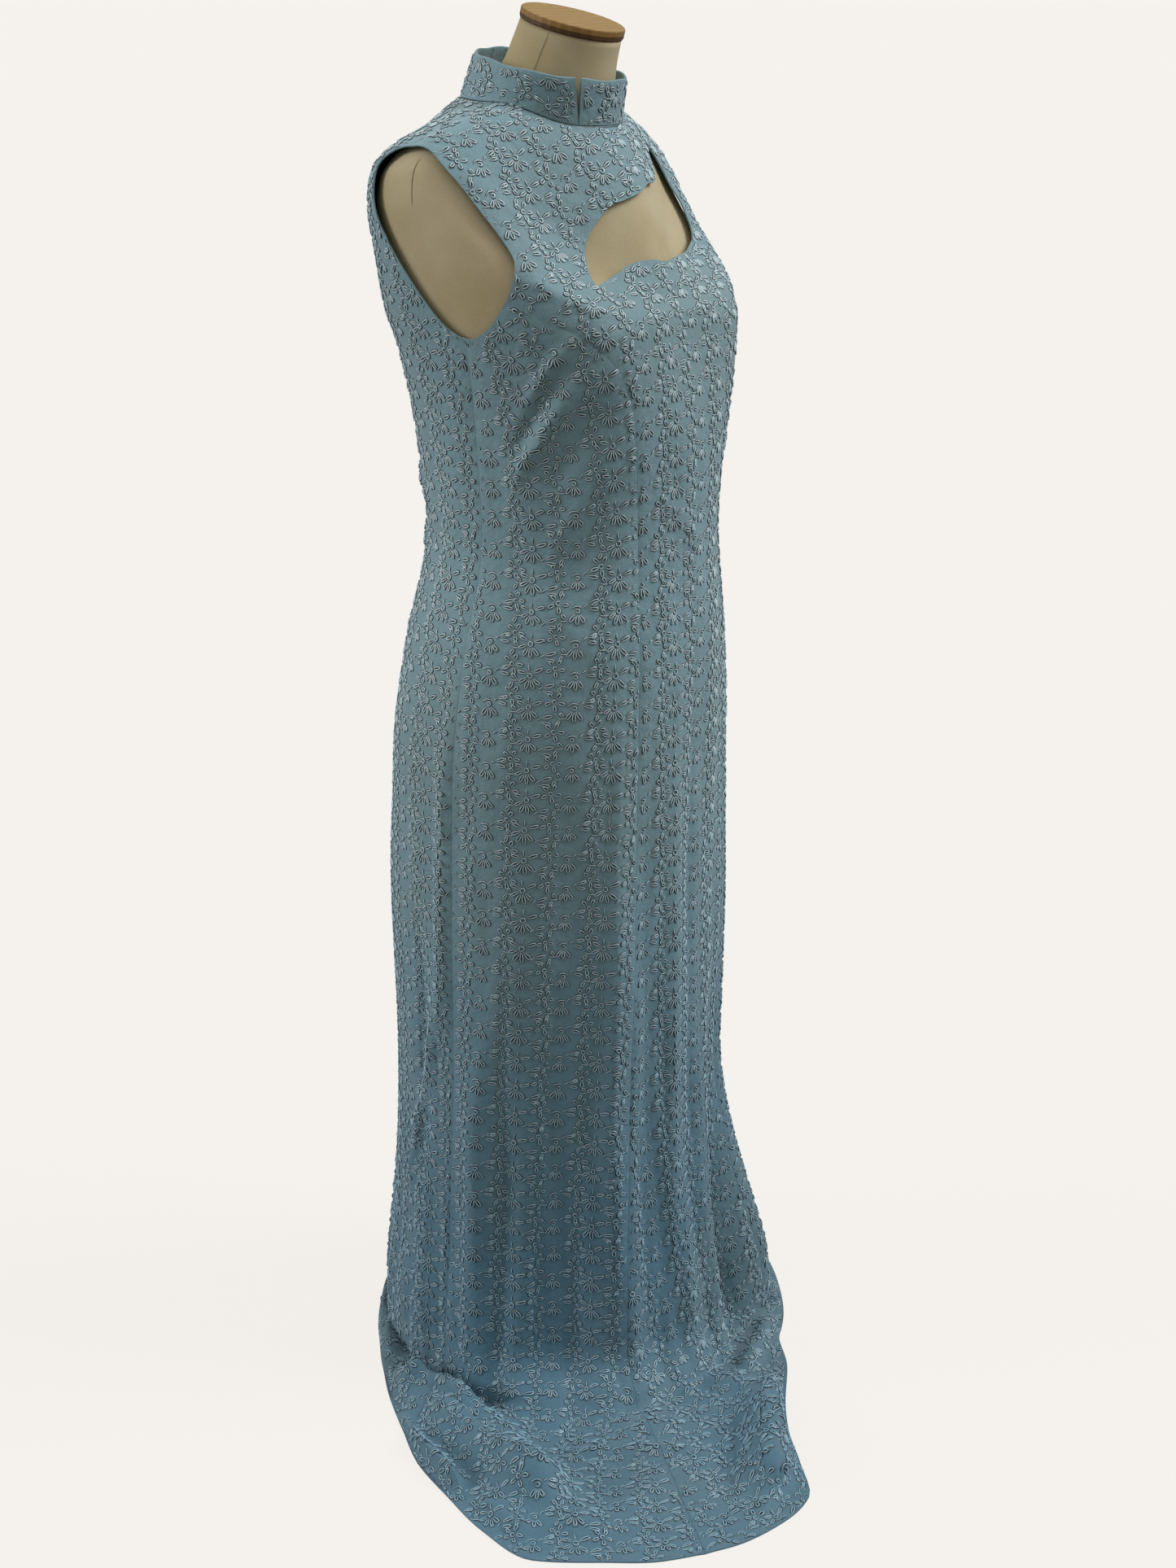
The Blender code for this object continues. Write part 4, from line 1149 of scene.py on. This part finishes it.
class Panel:
    """One cut piece of the dress: its shell, and its flat pattern for the embroidery."""

    def __init__(self, name, outline, holes, grain):
        self.name = name
        self.outline = outline
        self.holes = holes
        self.grain = grain

    def build(self, materials):
        pattern, faces = cut_pattern(self.outline, self.holes, LEVELS, 1)
        points, made = shell(pattern[:, 0], pattern[:, 1], faces)
        name = f"{self.name}_cloth"
        self.piece = new_piece(name, points, made, materials, self.name, SHARP_FROM)
        count = len(pattern)
        for polygon in self.piece.data.polygons:
            if min(polygon.vertices) >= count:
                polygon.material_index = 1
        self.lay_flat()

    def lay_flat(self):
        """Works out where each coarse point of the panel lies when it is cut from flat cloth."""
        self.pattern, self.faces = cut_pattern(self.outline, self.holes, COARSE_LEVELS, COARSER)
        points, _ = surface(self.pattern[:, 0], self.pattern[:, 1])
        places = laid_flat(points, self.faces)
        areas = triangle_areas(points, self.faces)
        places *= math.sqrt(areas.sum() / triangle_areas(places, self.faces).sum())
        top, low = (
            np.argmin(np.hypot((self.pattern[:, 0] - angle) * FLAT_PER_DEGREE, self.pattern[:, 1] - down))
            for angle, down in zip(self.grain, GRAIN_DOWNS)
        )
        grain = places[low] - places[top]
        turn = math.atan2(grain[0], -grain[1])
        cos, sin = math.cos(-turn), math.sin(-turn)
        places = (places - places[top]) @ np.array([[cos, sin], [-sin, cos]])
        self.places = places * (1, -1)
        self.area = areas.sum()
        self.size = self.places.max(axis=0) - self.places.min(axis=0)
        corners = [(u, v, 0) for u, v in self.places]
        self.tree = BVHTree.FromPolygons(corners, self.faces)
        self.borders = line_tree([self.places[list(edge)] for edge in open_edges(self.faces)])

    def surface(self, angle, down):
        """(points, outward normals) of the panel's middle, for its embroidery."""
        return surface(angle, down)

    def find(self, places):
        """(inside, angle, down) of flat places on the panel."""
        hits = (self.tree.ray_cast((u, v, 1), (0, 0, -1))[2] for u, v in places)
        triangle = np.array([-1 if hit is None else hit for hit in hits])
        inside = triangle >= 0
        corners = np.array(self.faces)[np.maximum(triangle, 0)]
        a, b, c = (self.places[corners[:, i]] for i in range(3))
        whole = cross(b - a, c - a)
        to_b = cross(places - a, c - a) / whole
        to_c = cross(b - a, places - a) / whole
        first, second, third = (self.pattern[corners[:, i]] for i in range(3))
        found = first + to_b[:, None] * (second - first) + to_c[:, None] * (third - first)
        inside[inside] = distances(places[inside], self.borders) > CORD_MARGIN
        return inside, found[:, 0], found[:, 1]


def coil_runs(coil):
    """A ring of cord that runs in as it goes round."""
    steps = np.linspace(0, 1, round(coil.turns * COIL_STEPS) + 1)
    angles = np.radians(coil.start) + steps * coil.turns * 2 * math.pi
    reach = coil.radius * (1 - COIL_CLOSE * steps)
    return [np.stack([coil.right + reach * np.cos(angles), coil.down + reach * np.sin(angles)], axis=1)]


def petal_runs(petal):
    """A narrow closed loop from its foot."""
    steps = np.linspace(0, 2 * math.pi, PETAL_STEPS + 1)
    along = petal.length * (1 - np.cos(steps)) / 2
    across = petal.width / 2 * np.sin(steps) * (PETAL_FOOT + (1 - PETAL_FOOT) * along / petal.length)
    cos, sin = math.cos(math.radians(petal.way)), math.sin(math.radians(petal.way))
    right = petal.right + along * cos - across * sin
    down = petal.down + along * sin + across * cos
    return [np.stack([right, down], axis=1)]


def fan_runs(fan):
    """Petals that fan out from round a middle, each a little way off it."""
    made = []
    for way in fan.ways:
        turn = math.radians(way)
        right, down = fan.right + fan.reach * math.cos(turn), fan.down + fan.reach * math.sin(turn)
        made += petal_runs(Petal(right, down, way, fan.length, fan.width))
    return made


def stem_runs(stem):
    """A curved run of cord."""
    angles = np.radians(stem.way + stem.bend * np.linspace(0, 1, STEM_STEPS))
    pieces = np.stack([np.cos(angles), np.sin(angles)], axis=1) * stem.length / STEM_STEPS
    points = np.concatenate([[[0, 0]], np.cumsum(pieces, axis=0)])
    return [points + (stem.right, stem.down)]


RUNS = {Coil: coil_runs, Fan: fan_runs, Petal: petal_runs, Stem: stem_runs}


def embroidery_runs(low, high, seed):
    """Every run of cord of the repeat over a flat area, between two of its corners."""
    rng = np.random.default_rng(seed)
    first = np.floor(low / REPEAT).astype(int) - 1
    last = np.ceil(high / REPEAT).astype(int) + 1
    shift = rng.uniform(0, 1, 2) * REPEAT
    motifs = [([run for row in motif.rows for run in RUNS[type(row)](row)], (motif.right, motif.down))
              for motif in MOTIFS]
    made = []
    for across in range(first[0], last[0] + 1):
        for along in range(first[1], last[1] + 1):
            corner = shift + np.array([across, along]) * REPEAT
            for runs, place in motifs:
                turn = math.radians(rng.uniform(-MOTIF_TURN, MOTIF_TURN))
                size = 1 + rng.uniform(-MOTIF_GROWTH, MOTIF_GROWTH)
                middle = corner + place + rng.uniform(-MOTIF_SHIFT, MOTIF_SHIFT, 2)
                if (middle < low - MOTIF_REACH).any() or (middle > high + MOTIF_REACH).any():
                    continue
                cos, sin = math.cos(turn) * size, math.sin(turn) * size
                made += [middle + run @ np.array([[cos, sin], [-sin, cos]]) for run in runs]
    return made


def cord_ridges(points, normals, run, size):
    """(points, faces, relief) of raised cords along surface points, tapered at both ends of each run.

    run numbers each point's run, and relief is 1 on the crest of a cord and 0 at its foot.
    """
    count = len(points)
    starts = np.searchsorted(run, run, side="left")
    ends = np.searchsorted(run, run, side="right") - 1
    place = np.arange(count)
    ahead, behind = np.minimum(place + 1, ends), np.maximum(place - 1, starts)
    side = unit(np.cross(points[ahead] - points[behind], normals))
    share = CORD_END + (1 - CORD_END) * np.minimum(place - starts, ends - place) / CORD_TAPER
    share = np.clip(share, 0, 1)[:, None]
    foot = points + size.base * normals
    half = side * share * size.width / 2
    made = np.concatenate([foot - half, foot + normals * share * size.height, foot + half])
    a = place[:-1][run[1:] == run[:-1]]
    strip = np.stack([a, a + 1, a + 1 + count, a + count], axis=1)
    return made, np.concatenate([strip, strip + count]), np.repeat([0.0, 1.0, 0.0], count)


def cord_piece(name, ridges, material):
    """A piece of raised cords, whose relief tells its material how to shade them."""
    points, faces, relief = ridges
    piece = new_piece(name, points, faces, [material])
    piece.data.attributes.new("relief", "FLOAT", "POINT").data.foreach_set("value", relief)
    return piece


def add_cords(panel, seed, material):
    """The raised embroidery of one panel or collar half, cut off at its edges.

    A place on a panel is its angle and its way down, and on a collar its angle and its height.
    """
    runs = embroidery_runs(panel.places.min(axis=0), panel.places.max(axis=0), seed)
    owner = np.repeat(np.arange(len(runs)), [len(run) for run in runs])
    inside, angle, level = panel.find(np.concatenate(runs))
    fresh = np.concatenate([[True], (owner[1:] != owner[:-1]) | ~inside[:-1]])
    run = np.cumsum(fresh)[inside]
    long_enough = np.bincount(run)[run] >= SHORTEST_CORD
    middle, normals = panel.surface(angle[inside][long_enough], level[inside][long_enough])
    points, faces, relief = cord_ridges(middle, normals, run[long_enough], CORD_SIZE)
    points[:, 2] = np.maximum(points[:, 2], FLOOR_CLEAR)
    return cord_piece(f"{panel.name}_cords", (points, faces, relief), material)


def add_neck_seam(collar, material):
    """The seam at the foot of a collar half, all in the painted shade of a cord's foot."""
    angle = np.linspace(float(collar.start(0)), collar.back, NECKLINE_STEPS)
    middle, normals = surface(angle, np.full_like(angle, NECKLINE_DOWN))
    points, faces, relief = cord_ridges(middle, normals, np.zeros(NECKLINE_STEPS, int), NECKLINE_SIZE)
    # Relief 0 gives the whole strip the painted shade of a cord's foot
    cord_piece(f"{collar.name}_seam", (points, faces, 0 * relief), material)


def collar_points(angle, height, out):
    """A point of the stand collar. height is 0 at the neckline and 1 at the top."""
    low = cloth_plain(angle, np.zeros_like(angle))[..., 2] + COLLAR_LIFT
    high = COLLAR_TOP_Z - COLLAR_TOP_RISE * np.cos(np.radians(angle))
    neck = RINGS["neckline"]
    half_width = neck.half_width + (COLLAR_TOP_HALF_WIDTH - neck.half_width) * height
    front = neck.depth_front + (COLLAR_TOP_DEPTH - neck.depth_front) * height
    back = neck.depth_back + (COLLAR_TOP_DEPTH - neck.depth_back) * height
    y_side = neck.y_side + (COLLAR_TOP_Y - neck.y_side) * height
    radius = ring_radius(angle, half_width, front, back, OVAL, OVAL) + out
    return from_polar(angle, radius, y_side, low + (high - low) * height)


class Collar:
    """One half of the stand collar, from the slit round to the centre back, and its flat pattern."""

    def __init__(self, name, side):
        self.name = name
        self.side = side
        self.turn = math.degrees(1 / COLLAR_TOP_HALF_WIDTH)
        self.back = -side * (180 - COLLAR_GAP / 2 * self.turn)
        self.length = (180 + side * SLIT_LOW_ANGLE) / self.turn
        self.places = np.array([(0, 0), (self.length, COLLAR_HEIGHT)])

    def start(self, height):
        """The angle of the slit's edge."""
        slit = SLIT_LOW_ANGLE + (SLIT_HIGH_ANGLE - SLIT_LOW_ANGLE) * height
        return slit - self.side * (SLIT_WIDTH / 2 * height + COLLAR_GAP / 2) * self.turn

    def points(self, angle, height, out):
        wave = COLLAR_WAVE * np.sin(np.radians(angle) * COLLAR_WAVES + COLLAR_WAVE_PHASE)
        ripple = COLLAR_RIPPLE * np.sin(np.radians(angle) * COLLAR_RIPPLES) / COLLAR_HEIGHT
        flare = 0
        if self.side < 0:
            flare = COLLAR_FLARE * bump(turned(angle - SLIT_HIGH_ANGLE), COLLAR_FLARE_SPREAD)
        return collar_points(angle, height * (1 + ripple), out + (wave + flare) * height)

    def surface(self, angle, height):
        """(points, outward normals) of the collar's middle, for its embroidery."""
        points = self.points(angle, height, COLLAR_HALF - OUTER)
        return points, level_way(angle)

    def find(self, places):
        """(inside, angle, height) of flat places on the collar."""
        height = 1 - places[:, 1] / COLLAR_HEIGHT
        share = places[:, 0] / self.length
        inside = (np.abs(height - 0.5) < 0.5 - CORD_MARGIN / COLLAR_HEIGHT)
        inside &= np.abs(share - 0.5) < 0.5 - CORD_MARGIN / self.length
        start = self.start(height)
        return inside, start + (self.back - start) * share, height

    def profile(self):
        """(height, out) round the section, from the outer foot over the rounded top and down."""
        made = [(h, COLLAR_HALF) for h in np.linspace(0, 1, COLLAR_ROWS)]
        for turn in np.linspace(0, math.pi, COLLAR_TOP_STEPS)[1:-1]:
            made.append((1 + COLLAR_HALF * math.sin(turn) / COLLAR_HEIGHT, COLLAR_HALF * math.cos(turn)))
        return made + [(h, -COLLAR_HALF) for h in np.linspace(1, 0, COLLAR_ROWS)]

    def build(self, material):
        width = round((180 + self.side * SLIT_LOW_ANGLE) / COLLAR_STEP)
        profile = np.array(self.profile())
        count = len(profile)
        heights, outs = (np.tile(profile[:, i], width) for i in (0, 1))
        start = self.start(heights)
        angles = start + (self.back - start) * np.repeat(np.linspace(0, 1, width), count)
        points = self.points(angles, heights, outs)
        faces = [tuple(range(count)), tuple(reversed(range((width - 1) * count, width * count)))]
        for c in range(width - 1):
            for r in range(count):
                a, b = c * count + r, c * count + (r + 1) % count
                faces.append((a, a + count, b + count, b))
        if self.side < 0:
            faces = [face[::-1] for face in faces]
        name = f"{self.name}_cloth"
        self.piece = new_piece(name, points, faces, [material], self.name, SHARP_FROM)


def form_ring(down, angles):
    """One ring of the dress form: the cloth's ring, smaller and lower by the ease."""
    downs = np.full_like(angles, down)
    plain = from_polar(
        angles, body_radius(angles, downs), ring_value("y_side", downs), body_height(angles, downs)
    )
    centre = np.array([0, float(ring_value("y_side", down)), 0])
    flat_way = (plain - centre) * (1, 1, 0)
    reach = np.linalg.norm(flat_way, axis=1, keepdims=True)
    points = plain - flat_way / reach * ring_value("form_in", down)
    points[:, 2] -= ring_value("form_drop", down)
    return points


def make_form(material):
    """The padded torso, in canvas sewn from panels."""
    angles = np.arange(FORM_SIDES) * 360 / FORM_SIDES
    rings = []
    for ring in NECK_RINGS:
        radius = ring_radius(angles, ring.half_width, ring.depth, ring.depth, OVAL, OVAL)
        height = ring.z - ring.rise * np.cos(np.radians(angles))
        rings.append(from_polar(angles, radius, ring.y_side, height))
    rings += [form_ring(down, angles) for down in FORM_ROWS]
    rings = np.array(rings)
    rows = np.arange(len(rings))
    fine = np.linspace(0, len(rings) - 1, FORM_FINER * (len(rings) - 1) + 1)
    made = np.empty((len(fine), FORM_SIDES, 3))
    for side in range(FORM_SIDES):
        for axis in range(3):
            made[:, side, axis] = smooth(rows, rings[:, side, axis], fine)
    count = len(fine)
    faces = [
        (r * FORM_SIDES + c, (r + 1) * FORM_SIDES + c,
         (r + 1) * FORM_SIDES + (c + 1) % FORM_SIDES, r * FORM_SIDES + (c + 1) % FORM_SIDES)
        for r in range(count - 1)
        for c in range(FORM_SIDES)
    ]
    last = (count - 1) * FORM_SIDES
    faces.append(tuple(range(FORM_SIDES)))
    faces.append(tuple(last + c for c in reversed(range(FORM_SIDES))))
    new_piece("form_canvas", made.reshape(-1, 3), faces, [material], "form_torso")
    return made


def on_form(rings, row, angle):
    """Points of the form's fine rings at rows and angles."""
    place = np.asarray(angle, float) / 360 * FORM_SIDES
    side = np.floor(place).astype(int)
    first, second = rings[row, side % FORM_SIDES], rings[row, (side + 1) % FORM_SIDES]
    return first + (second - first) * (place - side)[:, None]


def make_form_seams(rings, materials):
    """The form's seams that show, with a material for each kind."""
    for side, word in SIDES.items():
        for name, seam in FORM_SEAMS.items():
            row = np.arange(seam.row_from, seam.row_to + 1)
            angle = -side * np.linspace(seam.angle_from, seam.angle_to, len(row))
            middle = on_form(rings, row, angle)
            ridges = cord_ridges(middle, level_way(angle), np.zeros(len(row), int), seam.size)
            cord_piece(f"form_{name}_seam_{word}", ridges, materials[name])


class Nodes:
    """The nodes of a material or of the world, linked as they are added."""

    def __init__(self, tree):
        self.tree = tree

    def add(self, kind, inputs=(), **settings):
        """A node with its settings, its inputs given by (socket, value or output) pairs."""
        node = self.tree.nodes.new(kind)
        for key, value in settings.items():
            setattr(node, key, value)
        for socket, value in inputs:
            self.put(node.inputs[socket], value)
        return node

    def put(self, socket, value):
        if isinstance(value, bpy.types.NodeSocket):
            self.tree.links.new(value, socket)
        elif socket.type == "RGBA":
            socket.default_value = (*value, 1)
        else:
            socket.default_value = value

    def between(self, value, low, high, to_low=0.0, to_high=1.0, change="SMOOTHSTEP"):
        """A value brought from one range to another."""
        inputs = (("Value", value), ("From Min", low), ("From Max", high),
                  ("To Min", to_low), ("To Max", to_high))
        return self.add("ShaderNodeMapRange", inputs, interpolation_type=change).outputs["Result"]

    def mix(self, share, first, second, blend="MIX"):
        node = self.add("ShaderNodeMix", data_type="RGBA", blend_type=blend)
        for name, value in (("Factor", share), ("A", first), ("B", second)):
            self.put(next(s for s in node.inputs if s.name == name and s.enabled), value)
        return next(s for s in node.outputs if s.enabled)


class Shader(Nodes):
    """A material whose patterns are fixed to the piece."""

    def __init__(self, name):
        self.material = bpy.data.materials.new(name)
        self.material.use_nodes = True
        super().__init__(self.material.node_tree)
        self.place = self.add("ShaderNodeTexCoord").outputs["Object"]

    def noise(self, scale, detail, roughness=0.5):
        inputs = (("Vector", self.place), ("Scale", scale), ("Detail", detail), ("Roughness", roughness))
        return self.add("ShaderNodeTexNoise", inputs).outputs["Fac"]

    def flecked(self, colour, noise, fleck):
        """A colour made darker and lighter by noise."""
        tint = self.between(noise, *fleck)
        tints = self.add("ShaderNodeCombineXYZ", (("X", tint), ("Y", tint), ("Z", tint)))
        return self.mix(1.0, colour, tints.outputs["Vector"], "MULTIPLY")

    def along(self, vector, way):
        """How far a vector goes in a direction."""
        inputs = ((0, vector), (1, way))
        return self.add("ShaderNodeVectorMath", inputs, operation="DOT_PRODUCT").outputs["Value"]

    def bump(self, height, depth, normal=None):
        inputs = [("Height", height), ("Distance", depth * MM)]
        if normal:
            inputs.append(("Normal", normal))
        return self.add("ShaderNodeBump", inputs).outputs["Normal"]

    def finish(self, **values):
        sockets = self.tree.nodes["Principled BSDF"].inputs
        for key, value in values.items():
            self.put(sockets[key.replace("_", " ")], value)
        return self.material


def cloth_colour(shader, pale, deep, grey):
    """Blue cloth, deeper and bluer towards the floor as painted shade of the light falling off downward, and
    unevenly greyer.
    """
    height = shader.add("ShaderNodeSeparateXYZ", [("Vector", shader.place)]).outputs["Z"]
    # Painted shade: darker and bluer towards the floor
    colour = shader.mix(shader.between(height, *FALLOFF_SHADE_HEIGHT, 1.0, 0.0), pale, deep)
    patch = shader.between(shader.noise(PATCH_SCALE, 2), *PATCH_EDGES, 0.0, PATCH_SHARE)
    return shader.mix(patch, colour, grey)


def cloth_material():
    shader = Shader("sky_blue_cloth")
    weave = shader.noise(WEAVE_SCALE, 3, 0.7)
    crinkles = shader.bump(shader.noise(CRINKLE_SCALE, 2), CRINKLE_DEPTH)
    colour = cloth_colour(shader, CLOTH_PALE, CLOTH_SHADED_LOW, CLOTH_GREY)
    return shader.finish(
        Base_Color=shader.flecked(colour, weave, WEAVE_FLECK),
        Roughness=0.62,
        Specular_IOR_Level=0.35,
        Sheen_Weight=0.25,
        Sheen_Roughness=0.5,
        Normal=shader.bump(weave, WEAVE_DEPTH, crinkles),
    )


def lining_material():
    shader = Shader("pale_blue_lining")
    weave = shader.noise(WEAVE_SCALE, 2)
    return shader.finish(
        Base_Color=shader.mix(shader.between(weave, *LINING_EDGES), LINING_DARK, LINING_LIGHT),
        Roughness=0.7,
        Normal=shader.bump(weave, LINING_DEPTH),
    )


def cord_material():
    """Cords with a painted highlight on their light crest and painted shade on their dark foot, as their
    relief says.
    """
    shader = Shader("blue_cord")
    relief = shader.add("ShaderNodeAttribute", attribute_name="relief").outputs["Fac"]
    # The foot is painted shade, and the crest is the cord's own lighter tone with a painted highlight
    foot = cloth_colour(shader, FOOT_SHADE_PALE, FOOT_SHADE_DEEP, FOOT_SHADE_PALE)
    crest = cloth_colour(shader, CORD_TONE_AND_HIGHLIGHT_PALE, CORD_TONE_AND_HIGHLIGHT_DEEP, CORD_GREY)
    return shader.finish(
        Base_Color=shader.mix(shader.between(relief, *CORD_SHADE_EDGES), foot, crest),
        Roughness=0.36,
        Specular_IOR_Level=0.6,
        Normal=shader.bump(shader.noise(THREAD_SCALE, 2), THREAD_DEPTH),
    )


def canvas_material(name, light, dark):
    shader = Shader(name)
    weave = shader.noise(CANVAS_SCALE, 3, 0.7)
    patch = shader.between(shader.noise(CANVAS_PATCH_SCALE, 3), *CANVAS_PATCH_EDGES)
    return shader.finish(
        Base_Color=shader.flecked(shader.mix(patch, light, dark), weave, CANVAS_FLECK),
        Roughness=0.85,
        Specular_IOR_Level=0.25,
        Normal=shader.bump(weave, CANVAS_DEPTH),
    )


def wood_material():
    """Varnished wood: a golden face, and a rim that is darker below, with painted shade on its foot where the
    cap meets the canvas.
    """
    shader = Shader("brown_wood")
    neck = NECK_RINGS[0]
    tilt = math.atan(neck.rise / neck.depth)
    lean = (0, -math.sin(tilt), math.cos(tilt))
    facing = shader.along(shader.add("ShaderNodeNewGeometry").outputs["Normal"], lean)
    level = shader.along(shader.place, lean)
    start = neck.z * lean[2] + neck.y_side * lean[1]
    grain = shader.add("ShaderNodeTexWave", [("Vector", shader.place), *WOOD_GRAIN], bands_direction="Y")
    grain = shader.between(grain.outputs["Fac"], *WOOD_GRAIN_EDGES)
    # Painted shade on the rim's foot, where the cap meets the canvas
    above = shader.between(level, *((start + edge) * MM for edge in WOOD_SHADED_FOOT_EDGES))
    rim = shader.mix(above, shader.mix(grain, *WOOD_SHADED_FOOT), shader.mix(grain, *WOOD_RIM))
    return shader.finish(
        Base_Color=shader.mix(shader.between(facing, *WOOD_FACE_EDGES), rim, shader.mix(grain, *WOOD_FACE)),
        Roughness=0.5,
        Specular_IOR_Level=0.25,
    )


def metal_material():
    shader = Shader("black_metal")
    wear = shader.noise(METAL_SCALE, 4)
    return shader.finish(
        Base_Color=shader.mix(shader.between(wear, *METAL_EDGES), METAL_BLACK, METAL_WORN),
        Roughness=shader.between(wear, *METAL_ROUGHNESS),
        Metallic=0.6,
        Normal=shader.bump(wear, METAL_DEPTH),
    )


def floor_material():
    shader = Shader("pale_floor")
    plain = tuple(FLOOR_SHARE * part for part in BACKGROUND)
    fleck = tuple(FLOOR_FLECK * part for part in plain)
    return shader.finish(
        Base_Color=shader.mix(
            shader.between(shader.noise(FLOOR_FLECK_SCALE, 2), *FLOOR_FLECK_EDGES), plain, fleck
        ),
        Roughness=0.9,
        Specular_IOR_Level=0.0,
        Emission_Color=BACKGROUND,
        Emission_Strength=FLOOR_GLOW,
    )


def make_world():
    """A plain pale room that is seen as its background and gives soft light, less of it from below."""
    world = bpy.data.worlds.new("studio")
    bpy.context.scene.world = world
    world.use_nodes = True
    nodes = Nodes(world.node_tree)
    way = nodes.add("ShaderNodeTexCoord").outputs["Generated"]
    height = nodes.add("ShaderNodeSeparateXYZ", [("Vector", way)]).outputs["Z"]
    light = nodes.mix(nodes.between(height, *SKY_EDGES, change="LINEAR"), GROUND, SKY)
    seen = nodes.mix(nodes.add("ShaderNodeLightPath").outputs["Is Camera Ray"], light, BACKGROUND)
    nodes.put(world.node_tree.nodes["Background"].inputs["Color"], seen)


def make_stage():
    """The floor, the lights and the camera."""
    mesh = bpy.data.meshes.new("floor")
    half = FLOOR_SIZE / 2
    corners = [(-half, -half, 0), (half, -half, 0), (half, half, 0), (-half, half, 0)]
    mesh.from_pydata(corners, [], [range(len(corners))])
    mesh.materials.append(floor_material())
    floor = new_object("floor", mesh)
    floor.visible_diffuse = False
    floor.visible_glossy = False

    make_world()
    for name, sun in SUNS.items():
        light = bpy.data.lights.new(name, "SUN")
        light.energy = sun.strength
        light.color = sun.colour
        light.angle = math.radians(sun.spread)
        lamp = new_object(name, light)
        lamp.rotation_euler = Vector(sun.direction).to_track_quat("Z", "Y").to_euler()

    camera = bpy.data.cameras.new("camera")
    camera.lens = CAMERA_LENS
    camera.clip_end = CAMERA_REACH
    eye = new_object("camera", camera)
    eye.location = CAMERA_PLACE
    eye.rotation_euler = tuple(math.radians(angle) for angle in CAMERA_TURN)
    bpy.context.scene.camera = eye
    bpy.context.scene.view_settings.view_transform = "Standard"


def make_panels():
    """The dress's cut pieces below the collar, the front first."""
    panels = [Panel("front_centre", front_centre_outline(), [cutout_line()], GRAINS["front_centre"])]
    for side, word in SIDES.items():
        outlines = {
            "front_side": between_seams_outline(side, FRONT_PRINCESS, SIDE_SEAM),
            "back_side": between_seams_outline(side, SIDE_SEAM, BACK_PRINCESS),
            "back": back_outline(side),
        }
        for name, outline in outlines.items():
            panels.append(Panel(f"{name}_{word}", outline, [], [side * angle for angle in GRAINS[name]]))
    return panels


def main():
    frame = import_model()
    make_stage()

    cloth_blue, lining, cord = cloth_material(), lining_material(), cord_material()
    panels = make_panels()
    for number, panel in enumerate(panels):
        panel.build([cloth_blue, lining])
        cords = add_cords(panel, number, cord)
    for side, word in SIDES.items():
        collar = Collar(f"collar_{word}", side)
        collar.build(cloth_blue)
        cords = add_cords(collar, len(panels) + side, cord)
        add_neck_seam(collar, cord)

    canvas = canvas_material("beige_canvas", CANVAS_LIGHT, CANVAS_DARK)
    # The sunk arm seam's strip is a darker copy of the canvas, as painted shade
    seam_shade = canvas_material("canvas_seam_shade", SEAM_SHADE_LIGHT, SEAM_SHADE_DARK)
    make_form_seams(make_form(canvas), {"neck": canvas, "arm": seam_shade})
    metal = metal_material()
    finishes = {"neck_cap": wood_material(), "stand_pole": metal, "stand_base": metal}
    for node, finish in finishes.items():
        for slot in frame["nodes"][node].material_slots:
            slot.material = finish


main()
